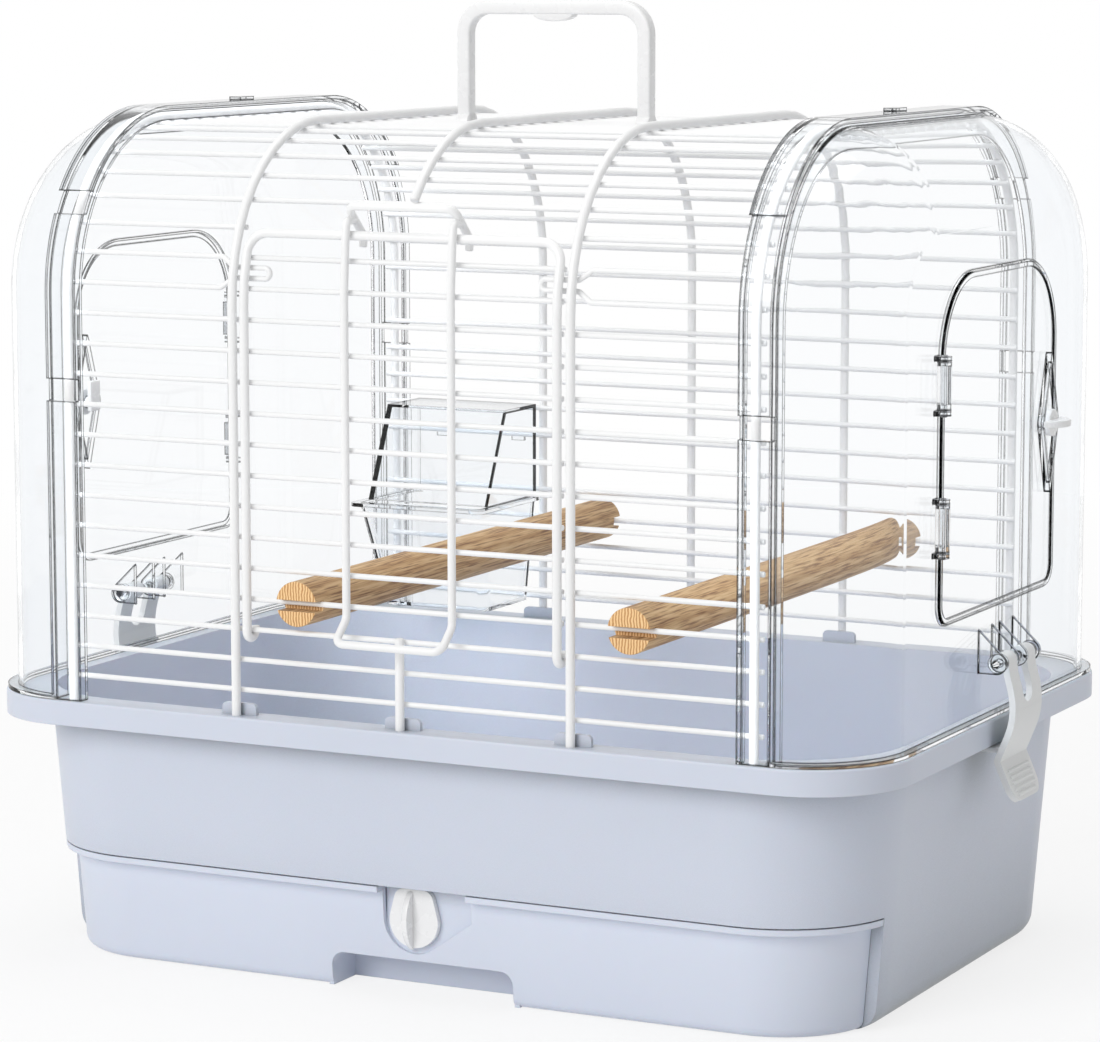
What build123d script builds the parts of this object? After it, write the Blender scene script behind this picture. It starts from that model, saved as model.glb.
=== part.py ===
from build123d import *
from math import acos, asin, atan, cos, degrees, pi, radians, sin, sqrt, tan
import os

os.makedirs("parts", exist_ok=True)

# Bird travel carrier.  Millimetres, +Z up, front towards -Y, long side along X.
# Origin: middle of the base, on the ground plane.

# ---- general clearances -----------------------------------------------------
gap = 0.3                # between pieces that slide or seat on each other
pin_gap = 0.08           # radial clearance of pins and shafts in their bores
weld_sink = 0.05         # how far crossing wires sink into each other
thick_sides = 12         # flats of a thick wire's section
thin_sides = 8           # flats of a thin wire's section

# ---- tub --------------------------------------------------------------------
tub_height = 120.0
rim_half_x = 215.4
rim_half_y = 152.4
rim_reach_x = 11.1       # rim past the tub's wall at the ends
rim_reach_y = 12.1
tub_top_half_x = rim_half_x - rim_reach_x
tub_top_half_y = rim_half_y - rim_reach_y
tub_top_corner = 56.0
tub_wall = 2.6
tub_draft = 4.5          # degrees, walls lean in towards the ground
tub_floor = 2.4
tub_foot_round = 11.0
rim_corner = 44.0
rim_skirt = 11.0         # height of the skirt
rim_wall = 2.4
rim_edge_round = 1.0
seam_z = 49.0            # lower edge of the tub's front wall
front_cut_y = -94.0      # the tub's lower side walls start here
return_width = 8.0       # front return of the lower side walls
ledge_z = 49.6           # inner ledge over the tray's edge
ledge_thick = 2.0
ledge_width = 9.0
tab_width = 17.0
tab_height = 5.0
tab_thick = 2.0
base_groove = 0.8        # depth of the stiffening groove under the base
base_groove_width = 6.0
base_groove_in = 24.0

# ---- drawer -----------------------------------------------------------------
drawer_inset = 5.1       # front face behind the tub's wall
drawer_wall = 2.4
drawer_ground = 0.2      # drawer front above the ground
drawer_foot_round = 4.5
drawer_lip = 2.7         # top lip that comes forward to the tub's wall
drawer_top_gap = 0.6
tray_wall = 2.0
tray_floor = 2.0
tray_depth_back = 122.0  # inside of the tray's back wall
tray_corner = 44.0
tray_lift = 1.2          # tray above the tub's floor, on its runners
runner_x = 120.0
runner_half = 3.0
notch_half = 44.0
notch_x = -1.0
notch_top = 15.6
notch_depth = 20.0
notch_round = 6.0

# ---- drawer knob ------------------------------------------------------------
knob_x = -3.6
knob_z = 33.5
knob_radius = 11.7
knob_tip = 14.0          # tip above the knob's centre
knob_lean = 15.0         # degrees, sides narrowing to the tip
knob_tip_round = 5.0
knob_disc = 2.6
knob_grip = 6.5
knob_grip_width = 3.6
knob_grip_past = 0.6     # grip's ellipse past the knob's edge
knob_grip_taper = 16.0   # degrees
knob_shaft = 3.0         # radius
keeper_thick = 2.2
keeper_drop = 4.0
recess_depth = 2.6
recess_gap = 3.0
recess_right = 27.9      # right edge from the knob's centre
recess_slant = 35.4      # degrees

# ---- wire cage --------------------------------------------------------------
hoop_radius = 2.0
wire_radius = 1.2
hoop_pitch = 80.0
outer_hoop_x = rim_half_x - 52.8
hoop_half_y = rim_half_y - 5.0
hoop_top = tub_height + 252.3
arch_radius = 75.0
hoop_plug = 6.0          # hoop ends below the rim's top
wire_first_z = tub_height + 10.8
wire_pitch = 13.3
front_rows = 15          # straight and curved rows up the front
roof_rows = 12           # spaces between the wires of the flat roof
wire_overhang = 3.0      # wire ends past the outer hoops
door_low_row = 2         # row that carries the door's hooks
door_top_row = 16        # row above the door opening
stop_reach = 15.8        # stop loops into the door opening
stop_half = 2.3
stop_near = 1.5          # slanting part of a stop wire, past the hoop
stop_slant = 6.0
stop_set_in = 0.7        # stop loops behind the line of the other wires

# ---- front wire door --------------------------------------------------------
door_half = 74.0
door_top_z = hoop_top - 44.8
door_frame_radius = 2.0
door_corner = 9.0
hook_back = 20.0         # degrees, the hook's end rises behind the sill wire
bail_radius = 1.75
bail_half = 25.2
bail_pull_out = 10.2     # the pull bar stands this far in front of the bail
bail_bar_z = tub_height + 36.8
bail_low_z = bail_bar_z + 9.2
lever_out = 3.0
lever_rise = 12.5
lever_in = 11.0
lever_drop = 1.0
lever_curl = 4.5
bail_rise = 2.6          # hook above the door's top wire, which leaves room to lift
bail_set = 1.0
bail_room = 1.2          # bail in front of the door's top wire

# ---- clear end shells -------------------------------------------------------
shell_wall = 2.0
shell_end_x = rim_half_x - 4.4   # outside of the end wall
shell_side = 2.1         # shell outside past the hoops' centre line
shell_round = 44.0       # roll of the arch edge into the end wall
channel_in_x = outer_hoop_x - 6.2
channel_out_x = outer_hoop_x + 9.0
channel_cover = 4.4      # channel outside past the hoops' centre line
channel_wall = 1.7
channel_leg = 8.0
channel_step = 0.9
channel_step_z = hoop_top - 31.3
break_high_z = hoop_top - 34.6   # middle of the break in the channel at the back
break_low_z = hoop_top - 115.4   # middle of the breaks lower down
break_half = 4.8
lip_height = 1.8
lip_out = 3.4
snap_length = 12.0
snap_width = 6.0
snap_rise = 1.6

# ---- clear end doors --------------------------------------------------------
end_door_half = 69.0
end_door_low = tub_height + 48.0
end_door_top = hoop_top - 59.3
end_door_round_top = 36.0
end_door_round_low = 9.0
end_door_gap = 0.6
end_door_bead = 1.0
end_door_bead_width = 2.2
hinge_pin = 1.3          # radius
hinge_barrel = 3.1       # radius
hinge_length = 20.0
hinge_low_z = end_door_low + 42.0
hinge_high_z = end_door_top - 44.0
hinge_off = 5.2          # pin centre past the door's edge
hinge_out = 3.4          # pin centre in front of the end wall
ear_thick = 2.0
strap_trim = 4.0         # the strap is this much shorter than its barrel
latch_z = (end_door_low + end_door_top) / 2
latch_in = 10.5          # knob centre inside the door's edge
boss_half_z = 31.0
boss_half_y = 10.0
boss_rise = 3.0
boss_rib = 1.4
boss_arch = 5.0          # round of the diamond's side points
latch_shaft = 2.6        # radius
latch_hub = 6.0          # radius
latch_wing_out = 14.0
latch_wing_half = 11.0
latch_wing = 3.2
latch_blade = 14.0
latch_blade_half = 4.0
latch_blade_thick = 2.2

# ---- side clasps ------------------------------------------------------------
clasp_pin_x = shell_end_x + 8.4
clasp_pin_z = tub_height + 25.6
clasp_pin = 1.6          # radius
clasp_half = 16.4
clasp_fork = 6.0         # half the slot between the arms
clasp_thick = 2.8
clasp_barrel = 3.9       # radius of the arms round the pin
clasp_slot_low = tub_height + 5.5
fin_thick = 1.6
fin_gap = 0.5
fin_out = 3.6            # outer fins outside the arms, on bosses
boss_round = 4.0
fin_round = 4.6
fin_top_z = clasp_pin_z + 15.4
fin_low_z = clasp_pin_z - 4.6
clasp_catch_thick = 2.4
clasp_catch_reach = 6.6  # catch in under the rim's skirt
clasp_clear = 4.2        # waist of the lever outside the rim
clasp_bow = 7.4          # how far the lever bows out past its waist
clasp_tail = 18.6        # thumb tab below the waist
clasp_ribs = 5

# ---- perches ----------------------------------------------------------------
perch_radius = 9.75
perch_half = hoop_half_y + 2.2
perch_slot = 4.6
perch_left_x = -48.7
perch_right_x = 107.6

# ---- feeder -----------------------------------------------------------------
feeder_x = -114.0
feeder_half_top = 33.4
feeder_half_low = 28.5
feeder_deep_top = 62.7   # front to back at the rim
feeder_deep_low = 44.7
feeder_low_z = tub_height + 9.0
feeder_rim_z = feeder_low_z + 52.0
feeder_wall = 1.8
hopper_top_z = feeder_rim_z + 45.0
hopper_deep_top = 32.7
hopper_deep_low = 52.7
feeder_rim_out = 3.0
feeder_rim_thick = 1.8

# ---- carry handle -----------------------------------------------------------
handle_half = 47.8
handle_bar = 6.3         # width of the posts and the bar seen from the front
handle_deep = 6.8
handle_top = hoop_top + 51.7
handle_corner = 15.0
handle_foot = 5.2        # radius of the eyes round the roof wire
handle_rest_half = 9.8   # the swelling under the bar that the fingers feel
handle_rest_drop = 3.0

# ---- derived places ---------------------------------------------------------
taper = tan(radians(tub_draft))
arch_z = hoop_top - arch_radius          # centre of the arch corners
arch_y = hoop_half_y - arch_radius
wire_in = hoop_radius + wire_radius - weld_sink
wire_y = hoop_half_y - wire_in
wire_arch = arch_radius - wire_in
roof_wire_z = hoop_top - wire_in
wire_end_x = outer_hoop_x + wire_overhang
hoop_places = (-outer_hoop_x, -hoop_pitch, 0, hoop_pitch, outer_hoop_x)
tub_skirt_z = tub_height - rim_skirt


def tub_half(z):
    """Half sizes and corner radius of the tub's outside at height z."""
    lean = (tub_skirt_z - z) * taper
    return tub_top_half_x - lean, tub_top_half_y - lean, tub_top_corner - lean


def rounded_prism(half_x, half_y, corner, z0, z1, lean=0.0):
    """Upright prism with a rounded rectangle base at z0, growing upwards by lean degrees."""
    base = Pos(0, 0, z0) * RectangleRounded(2 * half_x, 2 * half_y, corner)
    return extrude(base, amount=z1 - z0, dir=(0, 0, 1), taper=-lean)


def leaning_prism(inset, z0, z1):
    """Prism that follows the tub's leaning wall, inset by a normal distance."""
    hx, hy, r = tub_half(z0)
    return rounded_prism(hx - inset, hy - inset, r - inset, z0, z1, tub_draft)


def section(radius, sides):
    """Wire section with its flats at the wire's radius."""
    return RegularPolygon(radius, sides, major_radius=False, rotation=180 / sides)


def bent(edges, radius, sides=thick_sides):
    """Wire swept along a chain of tangent edges."""
    path = Wire(edges)
    frame = Plane(origin=path.position_at(0), x_dir=(1, 0, 0), z_dir=path.tangent_at(0))
    return sweep(frame * section(radius, sides), path=path)


def bent_line(points, bends, radius, sides):
    """Wire through points, bent at each corner with a radius of its own."""
    path = FilletPolyline(*points, radius=bends)
    start = Vector(*points[0])
    along = Vector(*points[1]) - start
    across = (0, 0, 1) if abs(along.X) > abs(along.Z) else (1, 0, 0)
    frame = Plane(origin=start, x_dir=across, z_dir=along)
    return sweep(frame * section(radius, sides), path=path)


def row_place(row):
    """Y (front, negative) and Z of a horizontal wire, counted up the front and the arch."""
    z = wire_first_z + row * wire_pitch
    if z <= arch_z:
        return -wire_y, z
    angle = (z - arch_z) / wire_arch
    if angle > pi / 2:
        angle = pi / 2
    return -arch_y - wire_arch * cos(angle), arch_z + wire_arch * sin(angle)


def arch_profile(half_y, top, corner, low):
    """Outline of the tunnel seen from its end, in the YZ plane."""
    with BuildSketch(Plane.YZ) as s:
        with Locations((0, (low + top) / 2)):
            Rectangle(2 * half_y, top - low)
        fillet(s.vertices().group_by(Axis.Y)[-1], corner)
    return s.sketch


def arch_face(past, low):
    """Tunnel outline that lies a distance past the hoops' centre line."""
    return arch_profile(hoop_half_y + past, hoop_top + past, arch_radius + past, low)


def save(shape, name):
    export_step(shape, f"parts/{name}.step")


def turned(shape):
    """The same piece on the opposite end, turned half round about the upright axis."""
    return shape.rotate(Axis.Z, 180)


# ---- tub --------------------------------------------------------------------
def make_tub():
    body = leaning_prism(0, 0, tub_skirt_z + rim_wall)
    low_edges = body.edges().group_by(Axis.Z)[0]
    body = fillet(low_edges, tub_foot_round)
    rim = rounded_prism(rim_half_x, rim_half_y, rim_corner, tub_skirt_z, tub_height)
    rim = fillet(rim.edges().group_by(Axis.Z)[-1], rim_edge_round)
    under = rounded_prism(rim_half_x - rim_wall, rim_half_y - rim_wall, rim_corner - rim_wall,
                          tub_skirt_z, tub_height - rim_wall)
    body = body + (rim - under)
    wall_core = leaning_prism(0, tub_skirt_z, tub_height - rim_wall)
    body = body + wall_core
    hollow = leaning_prism(tub_wall, tub_floor, tub_height + 1)
    hollow = fillet(hollow.edges().group_by(Axis.Z)[0], tub_foot_round - tub_wall)
    body = body - hollow
    hx, hy, r = tub_half(0)
    d = base_groove_in
    groove = rounded_prism(hx - d, hy - d, r - d, -1, base_groove)
    d = base_groove_in + base_groove_width
    groove = groove - rounded_prism(hx - d, hy - d, r - d, -2, base_groove + 1)
    body = body - groove
    front = Pos(0, front_cut_y - 100, seam_z / 2 - 5) * Box(500, 200, seam_z + 10)
    body = body - front
    # returns at the front of the lower side walls, cut to the tub's own outline
    outline = leaning_prism(0.2, 0, seam_z)
    outline = fillet(outline.edges().group_by(Axis.Z)[0], tub_foot_round)
    inner_x = tub_half(0)[0] - return_width
    for side in (1, -1):
        plate = Pos(side * (inner_x + 25), front_cut_y + tub_wall / 2, seam_z / 2) * Box(
            50, tub_wall, seam_z)
        body = body + (plate & outline)
    # inner ledge that covers the tray's edge and keeps litter in it
    hx, hy, r = tub_half(ledge_z)
    ledge = leaning_prism(tub_wall - 0.5, ledge_z, ledge_z + ledge_thick)
    inside = ledge_width + tub_wall
    ledge = ledge - rounded_prism(hx - inside, hy - inside, r - inside, ledge_z - 1, ledge_z + 5)
    body = body + ledge
    # sockets for the hoop ends through the flange, and tabs that hold the middle hoops
    for x in hoop_places:
        for side in (1, -1):
            foot = Plane(origin=(x, side * hoop_half_y, tub_height - 2 * rim_wall))
            body = body - extrude(foot * section(hoop_radius + pin_gap, thick_sides),
                                  amount=4 * rim_wall)
            if abs(x) < outer_hoop_x:
                body = body + retaining_tab(x, side)
    return body


def retaining_tab(x, side):
    y = side * (hoop_half_y - hoop_radius - gap - tab_thick / 2)
    tab = Pos(x, y, tub_height - 1 + (tab_height + 1) / 2) * Box(tab_width, tab_thick, tab_height + 1)
    corners = tab.edges().filter_by(Axis.Y).group_by(Axis.Z)[-1]
    return fillet(corners, tab_height * 0.45)


# ---- drawer -----------------------------------------------------------------
drawer_top = seam_z - drawer_top_gap


def make_drawer():
    hx, hy, r = tub_half(drawer_ground)
    front = rounded_prism(hx - drawer_inset, hy - drawer_inset, r - drawer_inset,
                          drawer_ground, drawer_top, tub_draft)
    front = fillet(front.edges().group_by(Axis.Z)[0], drawer_foot_round)
    t = drawer_wall
    inner = rounded_prism(hx - drawer_inset - t, hy - drawer_inset - t, r - drawer_inset - t,
                          drawer_ground, drawer_top + 2, tub_draft)
    inner = fillet(inner.edges().group_by(Axis.Z)[0], drawer_foot_round - t)
    inner = Pos(0, 0, t) * inner
    lip = leaning_prism(0, drawer_top - drawer_lip, drawer_top)
    shell = (front + lip) - inner
    keep = Pos(0, front_cut_y - gap - 100, tub_height / 2) * Box(500, 200, tub_height)
    shell = shell & keep
    open_under = rounded_prism(hx - drawer_inset - 12, hy - drawer_inset - 12, r - drawer_inset - 12,
                               drawer_ground - 1, drawer_ground + t + 0.5)
    shell = shell - open_under
    # tray behind the front
    tray_half = tub_half(0)[0] - return_width - gap
    tray_low = tub_floor + tray_lift
    front_y = -(hy - drawer_inset) + t
    length = tray_depth_back + tray_wall - front_y
    mid_y = (tray_depth_back + tray_wall + front_y) / 2
    outer = Pos(0, mid_y, 0) * rounded_prism(tray_half, length / 2, tray_corner + tray_wall,
                                             tray_low, drawer_top - drawer_lip)
    core = Pos(0, mid_y, 0) * rounded_prism(tray_half - tray_wall, length / 2 - tray_wall, tray_corner,
                                            tray_low + tray_floor, drawer_top)
    tray = outer - core
    body = shell + tray
    runner_back = tray_depth_back - tray_corner
    for side in (1, -1):
        body = body + Pos(side * runner_x, (front_y + runner_back) / 2, tub_floor + gap + tray_lift / 2) * Box(
            2 * runner_half, runner_back - front_y, tray_lift)
    # finger notch with its own pocket
    pocket = notch_block(t)
    hollow = notch_block(0)
    body = body + (pocket & Pos(0, 0, tray_low / 2 + 10) * Box(500, 2 * (hy - drawer_inset - 1), 60))
    body = body - hollow
    body = body - recess()
    body = body + knob_backing() - Pos(knob_x, -hy, knob_z) * Rot(90, 0, 0) * Cylinder(
        knob_shaft + pin_gap, 60)
    return body


def notch_block(grow):
    """Pocket of the finger notch in the drawer's front, grown by a wall."""
    hy = tub_half(drawer_ground)[1] - drawer_inset
    with BuildSketch(Plane.XZ) as s:
        with Locations((notch_x, (notch_top + grow) / 2 - 5)):
            Rectangle(2 * (notch_half + grow), notch_top + grow + 10)
        fillet(s.vertices().group_by(Axis.Y)[-1], notch_round + grow)
    depth = notch_depth + grow
    block = extrude(s.sketch, amount=30 + depth, both=False)
    block = Pos(0, -hy + depth, 0) * block
    if grow:
        block = block & Pos(0, 0, drawer_ground + 30) * Box(500, 500, 60)
    return block


def knob_front_y():
    """Front face of the drawer at the knob's height."""
    return -(tub_half(knob_z)[1] - drawer_inset)


def recess():
    """Shallow seat round the knob, open at the top edge."""
    r = knob_radius + recess_gap
    a = radians(recess_slant)
    corner_z = -r * cos(a) + (recess_right - r * sin(a)) * tan(a)
    top = drawer_top + 5 - knob_z
    with BuildSketch(Plane.XZ) as s:
        Circle(r)
        Polygon((-r, 0), (-r, top), (recess_right, top), (recess_right, corner_z),
                (r * sin(a), -r * cos(a)), align=None)
    return Pos(knob_x, knob_front_y() + recess_depth, knob_z) * extrude(s.sketch, amount=30)


def knob_backing():
    """Wall behind the recess, so that the front keeps its thickness there."""
    r = knob_radius + recess_gap
    wide = recess_right + drawer_wall + r
    z0 = notch_top + 2
    mid_x = knob_x + (recess_right + drawer_wall - r) / 2
    mid_y = knob_front_y() + recess_depth + drawer_wall / 2
    return Pos(mid_x, mid_y, (z0 + drawer_top) / 2) * Box(wide, drawer_wall, drawer_top - z0)


def make_knob():
    """Drop-shaped turn lock with a finger ridge, its keeper behind the drawer's front."""
    y = knob_front_y() + recess_depth - gap
    a = radians(knob_lean)
    side = (knob_radius * cos(a), knob_radius * sin(a))
    tip_half = (knob_radius - knob_tip * sin(a)) / cos(a)
    with BuildSketch(Plane.XZ) as tip:
        Polygon(side, (tip_half, knob_tip), (-tip_half, knob_tip), (-side[0], side[1]), (0, 0),
                align=None)
        fillet(tip.vertices().group_by(Axis.Y)[-1], knob_tip_round)
    with BuildSketch(Plane.XZ) as s:
        Circle(knob_radius)
    disc = Pos(knob_x, y, knob_z) * extrude(s.sketch + tip.sketch, amount=knob_disc)
    with BuildSketch(Plane.XZ) as g:
        Ellipse(knob_grip_width, knob_radius + knob_grip_past)
    grip = extrude(g.sketch, amount=knob_grip, taper=knob_grip_taper)
    grip = Pos(knob_x, y - knob_disc + 0.1, knob_z) * grip
    grip = grip & Pos(knob_x, y, knob_z) * Box(40, 40, 2 * knob_radius - 1)
    shaft = Pos(knob_x, y + 6, knob_z) * Rot(90, 0, 0) * Cylinder(knob_shaft, 12.2)
    keeper_y = y + recess_depth + drawer_wall + gap + keeper_thick
    keeper = Pos(knob_x, keeper_y, knob_z - keeper_drop) * Box(8, keeper_thick, 16)
    return disc + grip + shaft + keeper


# ---- wire cage --------------------------------------------------------------
def hoop(x, part="all"):
    """Thick hoop from the front, over the roof, to the back."""
    foot = tub_height - hoop_plug
    p0 = (x, -hoop_half_y, foot)
    p1 = (x, -hoop_half_y, arch_z)
    p2 = (x, -arch_y, hoop_top)
    p3 = (x, arch_y, hoop_top)
    p4 = (x, hoop_half_y, arch_z)
    p5 = (x, hoop_half_y, foot)
    mid1 = (x, -arch_y - arch_radius * cos(pi / 4), arch_z + arch_radius * sin(pi / 4))
    mid2 = (x, arch_y + arch_radius * cos(pi / 4), arch_z + arch_radius * sin(pi / 4))
    front = [Edge.make_line(p0, p1), Edge.make_three_point_arc(p1, mid1, p2)]
    rest = [Edge.make_line(p2, p3), Edge.make_three_point_arc(p3, mid2, p4), Edge.make_line(p4, p5)]
    if part == "all":
        return bent(front + rest, hoop_radius)
    start = asin((row_place(door_top_row)[1] + 1.6 - arch_z) / arch_radius)
    half = (start + pi / 2) / 2
    q0 = (x, -arch_y - arch_radius * cos(start), arch_z + arch_radius * sin(start))
    qm = (x, -arch_y - arch_radius * cos(half), arch_z + arch_radius * sin(half))
    return bent([Edge.make_three_point_arc(q0, qm, p2)] + rest, hoop_radius)


def straight_wire(x0, x1, y, z, radius=wire_radius):
    plane = Plane(origin=(min(x0, x1), y, z), x_dir=(0, 1, 0), z_dir=(1, 0, 0))
    return extrude(plane * section(radius, thin_sides), amount=abs(x1 - x0))


def stop_wire(side):
    """Two rows of a side bay that close into a loop in the door opening."""
    inner = hoop_pitch - stop_reach
    near = hoop_pitch + stop_near
    far = near + stop_slant
    (y13, z13), (y14, z14) = row_place(13), row_place(14)
    mid_z = (z13 + z14) / 2
    mid_y = stop_set_in - arch_y - wire_arch * cos(asin((mid_z - arch_z) / wire_arch))
    half = []
    for sign, y, z in ((-1, y13, z13), (1, y14, z14)):
        level = mid_z + sign * stop_half
        half.append([(side * wire_end_x, y, z), (side * far, y, z), (side * near, mid_y, level),
                     (side * inner, mid_y, level)])
    points = half[0] + half[1][::-1]
    tight = stop_half * 0.9
    return bent_line(points, [3, 3, tight, tight, 3, 3], wire_radius, thin_sides)


def bay_wires(side):
    """Rows beside the door, from the door's hoop out to the end shell."""
    rows = list(range(door_low_row + 1, 13)) + [15]
    inner = hoop_pitch - hoop_radius
    return [straight_wire(side * inner, side * wire_end_x, *row_place(k)) for k in rows]


def roof_places():
    """Y and Z of the wires over the roof, front to back."""
    places = [row_place(k) for k in range(door_top_row, 21)]
    top = [(-arch_y + 2 * arch_y * k / roof_rows, roof_wire_z) for k in range(roof_rows + 1)]
    back = [(-y, z) for y, z in reversed(places)]
    return places + top + back


def front_post():
    """Short upright between the rim and the door's sill wire."""
    top = row_place(door_low_row)[1] + wire_radius + 0.8
    foot = tub_height - hoop_plug
    plane = Plane(origin=(0, -hoop_half_y, foot), x_dir=(1, 0, 0), z_dir=(0, 0, 1))
    return extrude(plane * section(hoop_radius, thick_sides), amount=top - foot)


# ---- front wire door --------------------------------------------------------
door_y = wire_y + wire_radius + gap + door_frame_radius      # leg centre, front negative
door_wire_y = door_y - door_frame_radius - wire_radius + weld_sink
door_arch = arch_radius + door_y - hoop_half_y
sill_z = row_place(door_low_row)[1]


def door_arc_point(z, past=0.0):
    """Y of the door's curved upper part at height z."""
    r = door_arch + past
    return -arch_y - sqrt(r * r - (z - arch_z) ** 2)


def door_leg(side):
    """Hook, leg, arched top and corner of the door frame on one side, bottom to top."""
    x = side * door_half
    hook = door_y - wire_y
    back = radians(hook_back)
    a = (x, -wire_y + hook * cos(back), sill_z + hook * sin(back))
    b = (x, -wire_y, sill_z - hook)
    c = (x, -door_y, sill_z)
    d = (x, -door_y, arch_z)
    reach = sqrt(door_arch ** 2 + door_corner ** 2)
    turn = asin((door_top_z - arch_z) / reach) - atan(door_corner / door_arch)
    e_mid = arch_at(x, turn / 2)
    e = arch_at(x, turn)
    inward = side * door_corner
    up = Vector(0, sin(turn), cos(turn)) * door_corner
    mid = Vector(*e) + Vector(-inward * (1 - cos(pi / 4)), 0, 0) + up * sin(pi / 4)
    f = Vector(*e) + Vector(-inward, 0, 0) + up
    edges = [Edge.make_three_point_arc(a, b, c), Edge.make_line(c, d),
             Edge.make_three_point_arc(d, e_mid, e), Edge.make_three_point_arc(e, mid, f)]
    return edges, f


def arch_at(x, turn):
    """Point of the door's curved upper part, turned up from the top of its straight part."""
    return (x, -arch_y - door_arch * cos(turn), arch_z + door_arch * sin(turn))


def make_door_frame():
    left, left_top = door_leg(-1)
    right, right_top = door_leg(1)
    across = [Edge.make_line(left_top, right_top)]
    return bent(left + across + right, door_frame_radius)


def make_door_wires():
    """Thin cross wires on the inner side of the door's frame."""
    wires = []
    for k in range(door_low_row + 1, door_top_row - 1):
        y, z = row_place(k)
        inner_arch = door_arch - door_frame_radius - wire_radius + weld_sink
        y = -door_wire_y if z <= arch_z else -arch_y - sqrt(inner_arch ** 2 - (z - arch_z) ** 2)
        wires.append(straight_wire(-door_half - 1.5, door_half + 1.5, y, z))
    return Compound(children=wires)


bail_y = door_wire_y + wire_radius + gap + bail_radius


def make_bail():
    """Latch wire that slides on the door: pull bar, uprights, hooks and finger lever."""
    top_y = door_arc_point(door_top_z)
    front_y = top_y - door_frame_radius - bail_radius - bail_room
    hook_z = door_top_z + door_frame_radius + bail_radius + bail_rise
    lever_low = (top_y + lever_in, door_top_z - lever_drop)
    lever_top = (top_y - lever_out, door_top_z + lever_rise)
    share = (hook_z - lever_low[1]) / (lever_top[1] - lever_low[1])
    meet_y = lever_low[0] + (lever_top[0] - lever_low[0]) * share
    side = [(meet_y, hook_z), (front_y + bail_set, hook_z), (front_y, door_top_z - 2),
            (-bail_y, arch_z + 7), (-bail_y, bail_low_z), (-bail_y - bail_pull_out, bail_bar_z)]
    left = [(-bail_half, y, z) for y, z in side]
    right = [(bail_half, y, z) for y, z in reversed(side)]
    loop = bent_line(left + right, [2.5, 2.5, 60, 5, 4, 4, 5, 60, 2.5, 2.5], bail_radius, thin_sides)
    curl = (lever_low[0] - 1.0, lever_low[1] - lever_curl)
    side = [curl, lever_low, lever_top]
    left = [(-bail_half, y, z) for y, z in side]
    right = [(bail_half, y, z) for y, z in reversed(side)]
    lever = bent_line(left + right, [2.5, 4, 4, 2.5], bail_radius, thin_sides)
    return loop + lever


# ---- clear end shells (right one, +X; the left one is the same moulding turned round) ---------
def end_door_outline(grow):
    with BuildSketch(Plane.YZ) as s:
        with Locations((0, (end_door_low + end_door_top) / 2)):
            Rectangle(2 * (end_door_half + grow), end_door_top - end_door_low + 2 * grow)
        fillet(s.vertices().group_by(Axis.Y)[-1], end_door_round_top + grow)
        fillet(s.vertices().group_by(Axis.Y)[0], end_door_round_low + grow)
    return s.sketch


def arch_band(x0, x1, outside, inside, low):
    """Band between two tunnel outlines."""
    outer = Pos(x0, 0, 0) * extrude(arch_face(outside, low), amount=x1 - x0)
    inner = Pos(x0 - 1, 0, 0) * extrude(arch_face(inside, low - 5), amount=x1 - x0 + 2)
    return outer - inner


hinge_y = -(end_door_half + hinge_off)
hinge_x = shell_end_x + hinge_out


def rolled_tunnel(past, end_x, roll, low):
    """Solid end of the tunnel, its outline rolled over into the end wall."""
    body = extrude(arch_face(past, low), amount=end_x)
    rim = [e for e in body.faces().sort_by(Axis.X)[-1].edges() if e.center().Z > low + 1]
    return fillet(rim, roll)


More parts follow.
